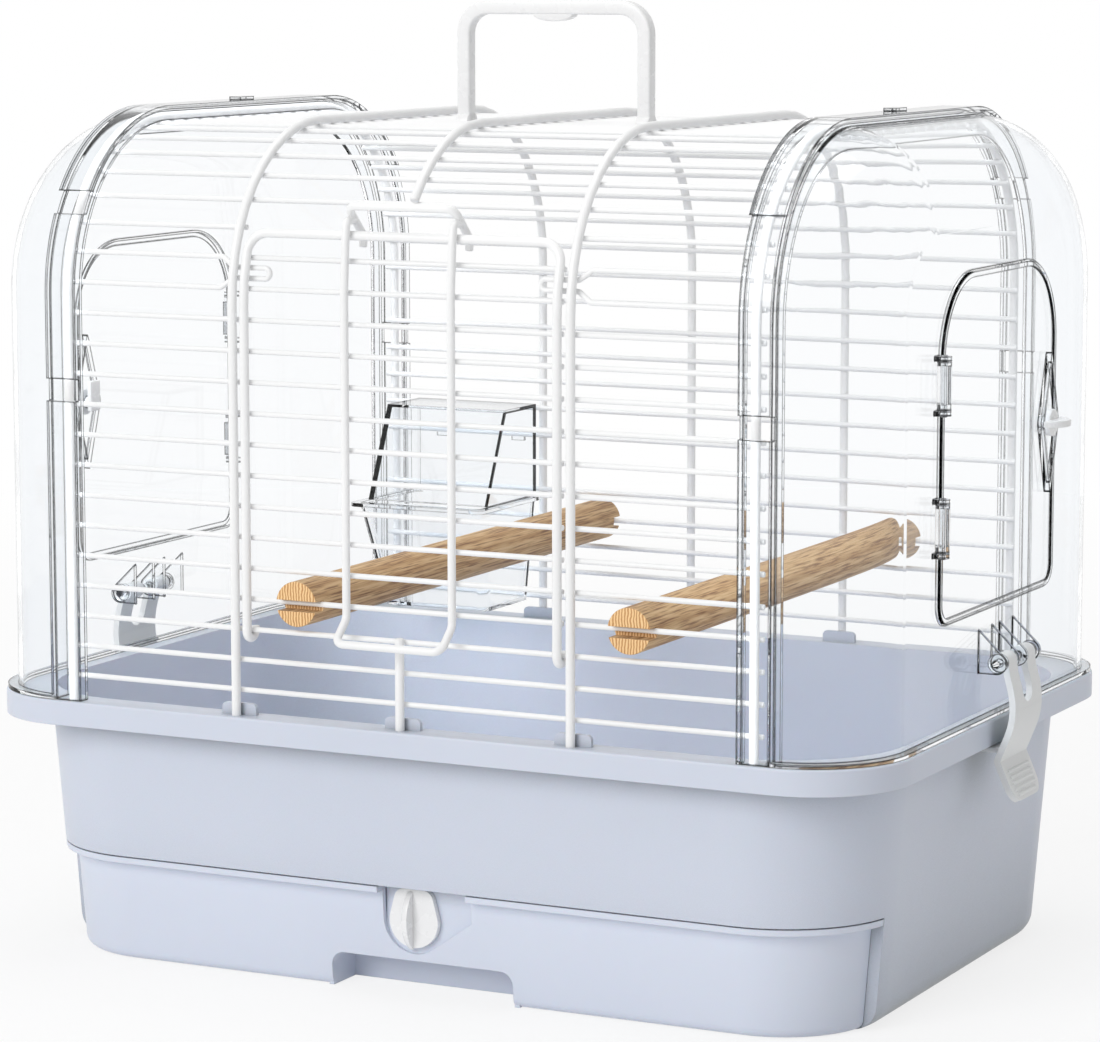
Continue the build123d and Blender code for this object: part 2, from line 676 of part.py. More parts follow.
def make_shell():
    low = tub_height + gap
    x0 = channel_out_x - channel_wall
    body = rolled_tunnel(shell_side, shell_end_x, shell_round, low)
    body = body - rolled_tunnel(shell_side - shell_wall, shell_end_x - shell_wall,
                                shell_round - shell_wall, low - 5)
    body = body & Pos(x0 + 100, 0, 300) * Box(200, 500, 600)
    # channel over the outer hoop
    skin = arch_band(channel_in_x, channel_out_x, channel_cover, channel_cover - channel_wall, low)
    far_leg = arch_band(channel_out_x - channel_wall, channel_out_x, channel_cover, -channel_leg, low)
    near_leg = arch_band(channel_in_x, channel_in_x + channel_wall, channel_cover,
                         -hoop_radius + 0.6, low)
    body = body + skin + far_leg + near_leg
    step = arch_band(channel_in_x - channel_step, channel_out_x + channel_step / 2,
                     channel_cover + channel_step, channel_cover - channel_wall / 2, low)
    step = step & Pos(channel_in_x, 0, channel_step_z + 50) * Box(60, 500, 100)
    body = body + step
    # breaks in the channel's cover, which let it spring
    cover = arch_band(channel_in_x - 1, channel_out_x + 1, channel_cover + 5, hoop_radius + gap, low)
    for side, z in ((1, break_high_z), (1, break_low_z), (-1, break_low_z)):
        body = body - (cover & Pos(channel_in_x, side * hoop_half_y, z) * Box(60, 120, 2 * break_half))
    # snap on top of the channel
    mid_x = (channel_in_x + channel_out_x) / 2
    body = body + Pos(mid_x - 2, 0, hoop_top + channel_cover + channel_step) * Box(
        snap_width, snap_length, 2 * snap_rise)
    # lip that rests on the tub's rim
    half = hoop_half_y + shell_side
    plan = rounded_prism(shell_end_x + lip_out, half + lip_out * 0.75, rim_corner - 1,
                         low, low + lip_height)
    plan = plan & Pos(channel_out_x + 100 - channel_wall, 0, low) * Box(200, 500, 40)
    bore = rounded_prism(shell_end_x - shell_wall / 2, half - shell_wall / 2, shell_round - 1,
                         low - 1, low + 10)
    body = body + (plan - bore)
    # door opening, with hinge ears and clasp fins
    cut = Pos(shell_end_x - 20, 0, 0) * extrude(end_door_outline(end_door_gap), amount=60)
    body = body - cut
    for z in (hinge_low_z, hinge_high_z):
        for end in (1, -1):
            body = body + hinge_ear(z + end * (hinge_length / 2 + ear_thick / 2 + gap))
    for y in fin_places():
        body = body + clasp_fin(y)
    boss_long = fin_out - fin_gap + fin_thick / 2
    for side in (1, -1):
        boss_y = side * (clasp_half + fin_gap + boss_long / 2)
        body = body + Pos(clasp_pin_x, boss_y, clasp_pin_z) * Rot(90, 0, 0) * Cylinder(
            boss_round, boss_long)
    for z in (hinge_low_z, hinge_high_z):
        body = body - Pos(hinge_x, hinge_y, z) * Cylinder(hinge_pin + pin_gap, hinge_length + 20)
    body = body - Pos(clasp_pin_x, 0, clasp_pin_z) * Rot(90, 0, 0) * Cylinder(clasp_pin + pin_gap, 80)
    return body


def hinge_ear(z):
    round_end = Pos(hinge_x, hinge_y, z) * Cylinder(hinge_barrel, ear_thick)
    root = Pos((hinge_x + shell_end_x - shell_wall / 2) / 2, hinge_y, z) * Box(
        hinge_x - shell_end_x + shell_wall / 2, 2 * hinge_barrel, ear_thick)
    return round_end + root


def fin_places():
    inner = clasp_fork - fin_gap - fin_thick / 2
    outer = clasp_half + fin_out + fin_thick / 2
    return (-outer, -inner, inner, outer)


def clasp_fin(y):
    """Upright fin that carries the clasp's pin."""
    root_x = shell_end_x - shell_wall / 2
    with BuildSketch(Plane.XZ) as s:
        Polygon((root_x, fin_low_z), (clasp_pin_x, clasp_pin_z - fin_round),
                (clasp_pin_x + fin_round * 0.72, clasp_pin_z + fin_round * 0.69),
                (root_x, fin_top_z), align=None)
        with Locations((clasp_pin_x, clasp_pin_z)):
            Circle(fin_round)
    return Pos(0, y + fin_thick / 2, 0) * extrude(s.sketch, amount=fin_thick)


# ---- clear end doors --------------------------------------------------------
latch_y = end_door_half - latch_in


def make_end_door():
    x_in = shell_end_x - shell_wall
    panel = Pos(x_in, 0, 0) * extrude(end_door_outline(0), amount=shell_wall)
    edge = extrude(end_door_outline(0), amount=shell_wall + end_door_bead)
    edge = edge - extrude(end_door_outline(-end_door_bead_width), amount=shell_wall + 5)
    body = panel + Pos(x_in, 0, 0) * edge
    top = shell_end_x + end_door_bead
    for z in (hinge_low_z, hinge_high_z):
        barrel = Pos(hinge_x, hinge_y, z) * Cylinder(hinge_barrel, hinge_length)
        strap_x = shell_end_x + gap
        strap_y = 2 - end_door_half
        strap = Pos((strap_x + hinge_x) / 2, (hinge_y + strap_y) / 2, z) * Box(
            hinge_x - strap_x, strap_y - hinge_y, hinge_length - strap_trim)
        body = body + barrel + strap
        body = body - Pos(hinge_x, hinge_y, z) * Cylinder(hinge_pin + pin_gap, hinge_length + 2)
    # diamond boss that frames the knob
    boss = boss_outline(0)
    body = body + Pos(shell_end_x - 0.4, 0, 0) * extrude(boss, amount=boss_rise + 0.4)
    body = body - Pos(boss_seat_x, 0, 0) * extrude(boss_outline(boss_rib), amount=boss_rise)
    bore = Pos(shell_end_x, latch_y, latch_z) * Rot(0, 90, 0) * Cylinder(latch_shaft + pin_gap, 30)
    return body - bore


boss_seat_x = shell_end_x + 1.0


def boss_outline(inset):
    """Diamond with a point above and below the knob."""
    with BuildSketch(Plane.YZ) as s:
        with Locations((latch_y, latch_z)):
            Polygon((0, boss_half_z - 3 * inset), (boss_half_y - inset, 0),
                    (0, 3 * inset - boss_half_z), (inset - boss_half_y, 0), align=None)
        fillet(s.vertices().group_by(Axis.X)[-1], boss_arch)
        fillet(s.vertices().group_by(Axis.X)[0], boss_arch)
    return s.sketch


def make_latch_knob():
    seat = boss_seat_x + gap
    clear = shell_end_x + boss_rise + gap
    hub = Pos((seat + clear + 1) / 2, latch_y, latch_z) * Rot(0, 90, 0) * Cylinder(
        latch_hub, clear + 1 - seat)
    wing_long = shell_end_x + latch_wing_out - clear
    wing = Pos(clear + wing_long / 2, latch_y, latch_z) * Box(wing_long, 2 * latch_wing_half, latch_wing)
    wing = fillet(wing.edges().filter_by(Axis.Z).group_by(Axis.X)[-1], wing_long * 0.8)
    back = shell_end_x - shell_wall - gap
    shaft_long = seat + 1 - back + latch_blade_thick
    shaft = Pos(seat + 1 - shaft_long / 2, latch_y, latch_z) * Rot(0, 90, 0) * Cylinder(
        latch_shaft, shaft_long)
    blade = Pos(back - latch_blade_thick / 2, latch_y, latch_z + latch_blade / 2 - latch_blade_half) * Box(
        latch_blade_thick, 2 * latch_blade_half, latch_blade)
    return hub + wing + shaft + blade


# ---- side clasps ------------------------------------------------------------
def make_clasp():
    """Forked lever: arms round the pin, bowed body, thumb tab and a catch under the rim."""
    waist_x = rim_half_x + clasp_clear
    waist_z = tub_skirt_z - 6.4
    outer = [(clasp_pin_x + 3.6, clasp_pin_z + 2.4), (waist_x + clasp_bow - 1, waist_z + 33.4),
             (waist_x + clasp_bow, waist_z + 21.4), (waist_x + 5.0, waist_z + 9.4), (waist_x, waist_z),
             (waist_x + 3.0, waist_z - clasp_tail / 2), (waist_x + clasp_bow + 0.6, waist_z - clasp_tail)]
    with BuildSketch(Plane.XZ) as s:
        with BuildLine():
            a = Spline(*outer[:5])
            b = Line(outer[4], outer[5])
            c = Line(outer[5], outer[6])
            d = Line(outer[6], (outer[6][0] - clasp_thick, outer[6][1] + 0.4))
            e = Line(d @ 1, (outer[5][0] - clasp_thick, outer[5][1] - 0.6))
            f = Line(e @ 1, (outer[4][0] - clasp_thick - 0.4, outer[4][1] - 0.4))
            g = Spline(f @ 1, (outer[3][0] - clasp_thick, outer[3][1] + 1.0),
                       (outer[2][0] - clasp_thick, outer[2][1]),
                       (outer[1][0] - clasp_thick, outer[1][1] - 0.6),
                       (outer[0][0] - clasp_thick - 0.6, outer[0][1] - 2.4))
            Line(g @ 1, outer[0])
        make_face()
    body = Pos(0, clasp_half, 0) * extrude(s.sketch, amount=2 * clasp_half)
    barrel = Pos(clasp_pin_x, 0, clasp_pin_z) * Rot(90, 0, 0) * Cylinder(clasp_barrel, 2 * clasp_half)
    body = body + barrel
    # catch that reaches in under the skirt, its top face following a circle round the pin
    reach = clasp_catch_reach + clasp_clear - clasp_thick / 2
    catch_z = tub_skirt_z - gap - clasp_catch_thick / 2 - 1.2
    catch = Pos(waist_x - clasp_thick / 2 - reach / 2, 0, catch_z) * Box(reach, clasp_half * 1.3, clasp_catch_thick)
    body = body + catch
    slot = Pos(clasp_pin_x, 0, (clasp_slot_low + 170) / 2) * Box(60, 2 * clasp_fork, 170 - clasp_slot_low)
    slot = fillet(slot.edges().filter_by(Axis.X).group_by(Axis.Z)[0], clasp_fork * 0.95)
    body = body - slot
    for k in range(clasp_ribs):
        t = (k + 0.6) / clasp_ribs
        x = outer[5][0] + (outer[6][0] - outer[5][0]) * t
        z = outer[5][1] + (outer[6][1] - outer[5][1]) * t
        body = body + Pos(x, 0, z) * Rot(90, 0, 0) * Cylinder(0.7, 2 * clasp_half - 5)
    body = body - Pos(clasp_pin_x, 0, clasp_pin_z) * Rot(90, 0, 0) * Cylinder(clasp_pin + pin_gap, 80)
    return body


def make_clasp_pin():
    long = 2 * (clasp_half + fin_out + fin_thick) + 1.0
    return Pos(clasp_pin_x, 0, clasp_pin_z) * Rot(90, 0, 0) * Cylinder(clasp_pin, long)


def make_hinge_pin(z):
    return Pos(hinge_x, hinge_y, z) * Cylinder(hinge_pin, hinge_length + 2 * (ear_thick + gap) + 1)


# ---- perches ----------------------------------------------------------------
def make_perch(x):
    z = row_place(3)[1]
    body = Pos(x, 0, z) * Rot(90, 0, 0) * Cylinder(perch_radius, 2 * perch_half)
    top = wire_radius + gap
    deep = perch_half - wire_y + wire_radius + gap
    for side in (1, -1):
        slot = Pos(x, side * (perch_half - deep / 2 + 1), z + top - perch_slot / 2) * Box(
            3 * perch_radius, deep + 2, perch_slot)
        body = body - slot
    return body


# ---- feeder -----------------------------------------------------------------
feeder_back = wire_y - wire_radius - gap
feeder_front_top = feeder_back - feeder_deep_top
feeder_front_low = feeder_back - feeder_deep_low
hopper_front_top = feeder_back - hopper_deep_top
hopper_front_low = feeder_back - hopper_deep_low


def prism_x(points, half):
    """Side outline in the YZ plane, centred on the feeder and extruded both ways."""
    with BuildSketch(Plane.YZ) as s:
        Polygon(*points, align=None)
    return Pos(feeder_x - half, 0, 0) * extrude(s.sketch, amount=2 * half)


def make_feeder_cup():
    outer = loft([feeder_plan(feeder_low_z, feeder_half_low, feeder_front_low),
                  feeder_plan(feeder_rim_z, feeder_half_top, feeder_front_top)])
    w = feeder_wall
    inner = loft([feeder_plan(feeder_low_z + w, feeder_half_low - w, feeder_front_low + w, w),
                  feeder_plan(feeder_rim_z + 0.01, feeder_half_top - w, feeder_front_top + w, w)])
    rim = extrude(feeder_plan(feeder_rim_z - feeder_rim_thick, feeder_half_top + feeder_rim_out,
                              feeder_front_top - feeder_rim_out), amount=feeder_rim_thick)
    hole = extrude(feeder_plan(feeder_rim_z - 5, feeder_half_top - 0.6, feeder_front_top + 0.6, 1.0),
                   amount=10)
    body = (outer - inner) + (rim - hole)
    return body


def feeder_plan(z, half, front, back_in=0.0):
    back = feeder_back - back_in
    return Pos(feeder_x, (front + back) / 2, z) * RectangleRounded(2 * half, back - front, 4.0)


def make_feeder_hopper():
    z0 = feeder_rim_z + 0.2
    pts = [(hopper_front_low, z0), (hopper_front_top, hopper_top_z), (feeder_back, hopper_top_z),
           (feeder_back, z0)]
    outer = prism_x(pts, feeder_half_top - 1)
    w = feeder_wall
    pts = [(hopper_front_low + w * 1.1, z0 - 1), (hopper_front_top + w * 1.1, hopper_top_z - w),
           (feeder_back - w, hopper_top_z - w), (feeder_back - w, z0 - 1)]
    body = outer - prism_x(pts, feeder_half_top - 1 - w)
    # hooks over a back wire
    hook_z = row_place(6)[1]
    for side in (1, -1):
        x = feeder_x + side * feeder_half_top * 0.6
        arm = Pos(x, (feeder_back + wire_y + 5) / 2 - 1, hook_z + wire_radius + gap + 0.9) * Box(
            7, wire_y - feeder_back + 5 + 2, 1.8)
        lip = Pos(x, wire_y + wire_radius + gap + 0.9, hook_z - 0.4) * Box(7, 1.8, 6)
        body = body + arm + lip
    return body


# ---- carry handle -----------------------------------------------------------
def make_handle():
    pivot_z = roof_wire_z
    with BuildSketch(Plane.XZ) as s:
        with Locations((0, (handle_top + pivot_z) / 2)):
            Rectangle(2 * handle_half, handle_top - pivot_z)
        fillet(s.vertices().group_by(Axis.Y)[-1], handle_corner)
    outer = s.sketch
    with BuildSketch(Plane.XZ) as s:
        with Locations((0, (handle_top - handle_bar + pivot_z) / 2 - 2)):
            Rectangle(2 * (handle_half - handle_bar), handle_top - handle_bar - pivot_z + 4)
        fillet(s.vertices().group_by(Axis.Y)[-1], handle_corner - handle_bar)
    inner = s.sketch
    with BuildSketch(Plane.XZ) as s:
        with Locations((0, handle_top - handle_bar + 2)):
            Ellipse(handle_rest_half, handle_rest_drop + 2)
    rest = s.sketch
    body = Pos(0, handle_deep / 2, 0) * extrude(outer, amount=handle_deep)
    body = body - Pos(0, handle_deep / 2 + 1, 0) * extrude(inner, amount=handle_deep + 2)
    body = body + Pos(0, handle_deep / 2 - 0.6, 0) * extrude(rest, amount=handle_deep - 1.2)
    x = handle_half - handle_bar / 2
    for side in (1, -1):
        eye = Pos(side * x, 0, pivot_z) * Rot(0, 90, 0) * Cylinder(handle_foot, handle_bar)
        body = body + eye
    wire_corner = wire_radius / cos(radians(180 / thin_sides))
    bore = Cylinder(wire_corner + pin_gap, 2 * handle_half + handle_bar)
    return body - Pos(0, 0, pivot_z) * Rot(0, 90, 0) * bore


# ---- write every piece ------------------------------------------------------
pieces = {
    "tub": make_tub(),
    "drawer": make_drawer(),
    "drawer_knob": make_knob(),
    "hoop_far_left": hoop(-outer_hoop_x),
    "hoop_left": hoop(-hoop_pitch),
    "hoop_middle": hoop(0, "roof and back"),
    "hoop_right": hoop(hoop_pitch),
    "hoop_far_right": hoop(outer_hoop_x),
    "front_post": front_post(),
    "sill_wires": Compound(children=[straight_wire(-wire_end_x, wire_end_x, *row_place(k))
                                     for k in range(door_low_row + 1)]),
    "front_wires_left": Compound(children=bay_wires(-1)),
    "front_wires_right": Compound(children=bay_wires(1)),
    "stop_wire_left": stop_wire(-1),
    "stop_wire_right": stop_wire(1),
    "roof_wires": Compound(children=[straight_wire(-wire_end_x, wire_end_x, y, z)
                                     for y, z in roof_places()]),
    "back_wires": Compound(children=[straight_wire(-wire_end_x, wire_end_x, -row_place(k)[0],
                                                   row_place(k)[1]) for k in range(16)]),
    "front_door_frame": make_door_frame(),
    "front_door_wires": make_door_wires(),
    "door_bail": make_bail(),
    "perch_left": make_perch(perch_left_x),
    "perch_right": make_perch(perch_right_x),
    "feeder_cup": make_feeder_cup(),
    "feeder_hopper": make_feeder_hopper(),
    "carry_handle": make_handle(),
}
right_end = {
    "shell": make_shell(),
    "end_door": make_end_door(),
    "latch_knob": make_latch_knob(),
    "hinge_pin_low": make_hinge_pin(hinge_low_z),
    "hinge_pin_high": make_hinge_pin(hinge_high_z),
    "clasp": make_clasp(),
    "clasp_pin": make_clasp_pin(),
}
for name, shape in right_end.items():
    pieces["right_" + name] = shape
    pieces["left_" + name] = turned(shape)
for name, shape in pieces.items():
    save(shape, name)
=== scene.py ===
# %% [markdown]
# # A bird travel carrier, finished in Blender
# The imported model is loaded first, and every piece that follows is placed by the
# millimetre in the same frame.

# %% Load the imported carrier
from math import asin, atan, ceil, cos, pi, radians, sin, sqrt, tan

import bmesh
import bpy
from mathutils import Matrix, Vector


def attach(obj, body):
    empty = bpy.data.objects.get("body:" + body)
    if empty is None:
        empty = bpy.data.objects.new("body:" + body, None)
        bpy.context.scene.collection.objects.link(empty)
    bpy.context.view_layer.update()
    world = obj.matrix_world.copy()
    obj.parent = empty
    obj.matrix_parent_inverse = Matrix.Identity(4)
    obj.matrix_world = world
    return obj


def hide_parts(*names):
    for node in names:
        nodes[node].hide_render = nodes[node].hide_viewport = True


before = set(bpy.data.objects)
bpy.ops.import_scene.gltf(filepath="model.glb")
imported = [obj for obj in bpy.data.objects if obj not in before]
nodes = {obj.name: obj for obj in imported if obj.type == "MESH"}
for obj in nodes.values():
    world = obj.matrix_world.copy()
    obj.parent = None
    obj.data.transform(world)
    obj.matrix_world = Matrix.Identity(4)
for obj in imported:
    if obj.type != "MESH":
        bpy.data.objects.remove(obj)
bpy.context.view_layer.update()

MM = 0.001

# %% [markdown]
# ## Camera
# The view stands to the right of the front and a little above the roof. A long lens
# keeps the rails nearly parallel, as in a catalogue. Only the place, the turn and the
# focal length are set; the size of the render is left alone.

# %% Camera
CAMERA_AZIMUTH, CAMERA_ELEVATION, CAMERA_ROLL = 26.485, 7.909, 0.02
CAMERA_PLACE = (807.28, -1625.59, 443.00)
FOCAL_PIXELS, IMAGE_WIDTH, SENSOR_WIDTH = 4061.6, 1100, 36.0

bpy.ops.object.camera_add(location=[v * MM for v in CAMERA_PLACE])
camera = bpy.context.object
camera.name = "camera"
camera.data.sensor_width = SENSOR_WIDTH
camera.data.lens = FOCAL_PIXELS / IMAGE_WIDTH * SENSOR_WIDTH
camera.data.clip_end = 50
camera.rotation_euler = (radians(90 - CAMERA_ELEVATION), radians(CAMERA_ROLL), radians(CAMERA_AZIMUTH))
bpy.context.scene.camera = camera
bpy.context.scene.view_settings.view_transform = "Standard"
print("lens", round(camera.data.lens, 1), "mm")

# %% [markdown]
# ## How a finish is put together
# Every finish here is a Principled shader with a little noise behind it. A class
# keeps the shader's nodes and a few shorthands together: `add` makes a node, `join`
# links two, and the others make the pairs and threes of nodes that come up again and
# again. All patterns read Object coordinates, so that they stay put on the piece.

# %% Shorthands for node materials
WHITE = (1, 1, 1, 1)


def srgb(red, green, blue):
    """Colour as it shows on screen, turned into the light values that a shader needs."""
    return tuple(c / 12.92 if c <= 0.04045 else ((c + 0.055) / 1.055) ** 2.4
                 for c in (red, green, blue)) + (1.0,)


class Finish:
    """A new node material with a few shorthands."""

    def __init__(self, name):
        self.material = bpy.data.materials.new(name)
        self.material.use_nodes = True
        self.nodes = self.material.node_tree.nodes
        self.links = self.material.node_tree.links
        self.shader = self.nodes["Principled BSDF"]
        self.place = self.nodes.new("ShaderNodeTexCoord").outputs["Object"]

    def add(self, kind, **values):
        """A node, with its settings and its sockets' values."""
        node = self.nodes.new("ShaderNode" + kind)
        for key, value in values.items():
            if hasattr(node, key):
                setattr(node, key, value)
            else:
                node.inputs[key.replace("_", " ")].default_value = value
        return node

    def join(self, output, target):
        self.links.new(output, target)

    def set(self, **values):
        """Constants on the shader's own sockets."""
        for key, value in values.items():
            self.shader.inputs[key.replace("_", " ")].default_value = value

    def noise(self, scale, detail=2.0, stretch=(1, 1, 1)):
        """Noise whose grain is 1/scale metres, longer where stretch is small."""
        mapping = self.add("Mapping", Scale=stretch)
        noise = self.add("TexNoise", Scale=scale, Detail=detail)
        self.join(self.place, mapping.inputs["Vector"])
        self.join(mapping.outputs["Vector"], noise.inputs["Vector"])
        return noise.outputs["Fac"]

    def ramp(self, factor, *stops):
        """Colour ramp with stops of (position, colour)."""
        ramp = self.add("ValToRGB")
        elements = ramp.color_ramp.elements
        while len(elements) < len(stops):
            elements.new(0.5)
        for element, (position, color) in zip(elements, stops):
            element.position, element.color = position, color
        self.join(factor, ramp.inputs["Fac"])
        return ramp.outputs["Color"]

    def spread(self, factor, low, high):
        """The factor spread over a new range."""
        spread = self.add("MapRange", To_Min=low, To_Max=high)
        self.join(factor, spread.inputs["Value"])
        return spread.outputs["Result"]

    def multiplied(self, first, second, share=1.0):
        """A colour darkened by another one, by a share of its full strength."""
        mix = self.add("Mix", data_type="RGBA", blend_type="MULTIPLY")
        mix.inputs["Factor"].default_value = share
        self.join(first, mix.inputs["A"])
        self.join(second, mix.inputs["B"])
        return mix.outputs["Result"]

    def bump(self, height, strength, distance, normal=None):
        """A surface normal with small hills and dents, laid over another one if given."""
        bump = self.add("Bump", Strength=strength, Distance=distance)
        self.join(height, bump.inputs["Height"])
        if normal:
            self.join(normal, bump.inputs["Normal"])
        return bump.outputs["Normal"]

    def blend_shaders(self, share, first, second):
        """Two shaders mixed by a factor, sent to the material's output."""
        mix = self.add("MixShader")
        self.join(share, mix.inputs["Fac"])
        self.join(first, mix.inputs[1])
        self.join(second, mix.inputs[2])
        self.join(mix.outputs["Shader"], self.nodes["Material Output"].inputs["Surface"])


print("mid grey on screen is", round(srgb(0.5, 0.5, 0.5)[0], 3), "as light")

# %% [markdown]
# ## Moulded plastic
# Moulded plastic isn't one flat colour: the melt leaves faint clouds, and the tool's
# spark finish leaves a grain of a fraction of a millimetre. Clouds go to the colour,
# grain goes to a bump and to the roughness. A Bevel node eases the sharp edges of a
# imported piece in the light alone, and where ambient occlusion finds a piece closed
# in, painted shade darkens its colour.

# %% Helper for moulded and coated finishes
EASED_EDGE = 0.0005                      # no moulded edge is quite sharp
# tone of the painted shade in closed-in hollows
PAINTED_SHADE_TONE = (0.69, 0.70, 0.68)


def moulded(name, dark, light, rough=(0.3, 0.42), grain=1600, grain_depth=0.00006, ease=0, painted_hollow_shade=False):
    """Plastic or coating: faint clouds in the colour, a fine grain in the surface."""
    finish = Finish(name)
    color = finish.ramp(finish.noise(9, 4), (0.3, srgb(*dark)), (0.7, srgb(*light)))
    # painted shade: the colour darkens where ambient occlusion finds the piece closed in
    if painted_hollow_shade:
        shade_ao = finish.add("AmbientOcclusion", samples=4, Distance=0.12)
        painted_shade = finish.ramp(shade_ao.outputs["AO"], (0.14, srgb(*PAINTED_SHADE_TONE)), (0.62, WHITE))
        color = finish.multiplied(color, painted_shade)
    finish.join(color, finish.shader.inputs["Base Color"])
    finish.join(finish.spread(finish.noise(140, 5), *rough), finish.shader.inputs["Roughness"])
    eased = finish.add("Bevel", Radius=ease, samples=4).outputs["Normal"] if ease else None
    soft = finish.bump(finish.noise(60, 2), 0.06, 0.0004, eased)
    finish.join(finish.bump(finish.noise(grain, 3), 0.3, grain_depth, soft), finish.shader.inputs["Normal"])
    return finish


print("edges are eased by", EASED_EDGE * 1000, "mm")

# %% [markdown]
# ## The tub's plastic
# The tub and its drawer are polypropylene, a plastic that lets light in a little
# before it sends it back, so they get some subsurface scattering. The drawer gets a
# lighter copy of the same lilac blue: painted light, as its face catches more light
# than the tub's wall.

# %% Tub and drawer
# the tub gets painted shade where it is closed in
tub_blue = moulded("lilac_polypropylene", (0.815, 0.840, 0.893), (0.827, 0.851, 0.903), ease=EASED_EDGE,
                   painted_hollow_shade=True)
# painted light: the drawer's blue is a lighter copy of the tub's, for the light its face catches
drawer_lit_blue = moulded("lilac_polypropylene_drawer_lit", (0.850, 0.874, 0.928), (0.862, 0.885, 0.938),
                      ease=EASED_EDGE)
for blue in (tub_blue, drawer_lit_blue):
    blue.set(Subsurface_Weight=0.08, Subsurface_Scale=0.004, Specular_IOR_Level=0.42)
    print("moulded finish:", blue.material.name)

# %% [markdown]
# ## White plastics and the coated wire
# The handle and knobs are a hard, glossy white. The clasps, which flex, get a greyer
# copy of that white: painted shade, so that the light on their ribs stands out. The
# wires wear a powder coat, which is smooth but slightly orange-peeled.

# %% White parts and wire
white_hard = moulded("white_hard_plastic", (0.955, 0.955, 0.955), (0.970, 0.970, 0.970),
                     rough=(0.22, 0.32), grain=2200, grain_depth=0.00001)
# painted shade: the clasps' white is a greyer copy, so that the light on their ribs stands out
shaded_clasp_white = moulded("white_clasp_plastic_shaded", (0.905, 0.91, 0.91), (0.92, 0.925, 0.925),
                      grain=2200, grain_depth=0.000004)
wire_coat = moulded("white_powder_coat", (0.960, 0.962, 0.962), (0.975, 0.975, 0.975),
                    rough=(0.25, 0.4), grain=900, grain_depth=0.00005)
print("white finishes:", white_hard.material.name, shaded_clasp_white.material.name, wire_coat.material.name)

# %% [markdown]
# ## Clear polystyrene
# The end shells, their doors and the feeder are clear. What makes clear plastic
# readable is its edges: a polished edge is looked at from inside and shows the dark of
# the room. Here that dark is a painted reflection: where a Bevel node's rounded normal
# leaves the flat one there is an edge, and where the surface turns away from the eye
# there is a rim, and both get the painted dark in their colour.
# Glass in a path tracer also throws a shadow that is too dark, because light can't
# find its way through, so shadow rays are let past by a transparent shader.

# %% Clear plastic
# colour of the painted dark reflection on edges and rims
PAINTED_EDGE_DARK = (0.06, 0.065, 0.07)


def painted_dark_edges(finish, tint, edge_width):
    """The clear tint, with a painted dark reflection along edges and rims."""
    rounded = finish.add("Bevel", Radius=edge_width, samples=8)
    flat = finish.add("NewGeometry")
    meet = finish.add("VectorMath", operation="DOT_PRODUCT")
    finish.join(rounded.outputs["Normal"], meet.inputs[0])
    finish.join(flat.outputs["Normal"], meet.inputs[1])
    # painted reflection: the tint goes dark along edges and at rims turned from the eye
    edge = finish.ramp(meet.outputs["Value"], (0.86, srgb(*PAINTED_EDGE_DARK)), (0.99, srgb(*tint)))
    rim = finish.add("LayerWeight", Blend=0.35)
    painted_rim_dark = finish.ramp(rim.outputs["Facing"], (0.72, WHITE), (0.96, srgb(*PAINTED_EDGE_DARK)))
    return finish.multiplied(edge, painted_rim_dark)


def clear_plastic(name, tint, rough, ripple, bend, edge_width, coat):
    """Clear moulding; bend is its refractive index and ripple the unevenness of its faces."""
    finish = Finish(name)
    finish.set(Transmission_Weight=1.0, IOR=bend, Coat_Weight=coat, Coat_Roughness=0.02)
    finish.join(painted_dark_edges(finish, tint, edge_width), finish.shader.inputs["Base Color"])
    finish.join(finish.spread(finish.noise(30, 3), *rough), finish.shader.inputs["Roughness"])
    finish.join(finish.bump(finish.noise(26, 1), ripple, 0.0006), finish.shader.inputs["Normal"])
    past = finish.add("BsdfTransparent", Color=srgb(0.96, 0.97, 0.98))
    rays = finish.add("LightPath")
    finish.blend_shaders(rays.outputs["Is Shadow Ray"], finish.shader.outputs["BSDF"], past.outputs["BSDF"])
    return finish


# the shells bend light a little less than the plastic does, so that bars behind their corners stay calm
clear_shell = clear_plastic("clear_polystyrene", (0.985, 0.99, 0.995), (0.0, 0.03), ripple=0.003,
                            bend=1.12, edge_width=0.0014, coat=0.25)
clear_thin = clear_plastic("clear_polystyrene_feeder", (0.98, 0.985, 0.99), (0.0, 0.04), ripple=0.02,
                           bend=1.45, edge_width=0.0005, coat=0.0)
print("clear finishes:", clear_shell.material.name, clear_thin.material.name)

# %% [markdown]
# ## Growth rings of the oak
# A dowel is turned along the grain. Its rings are drawn round a heart that lies beside
# the dowel, squeezed along its length, and bent a little by noise, so that the sides
# show long calm streaks as in real wood.

# %% Rings
RINGS_PER_METRE = 75.0


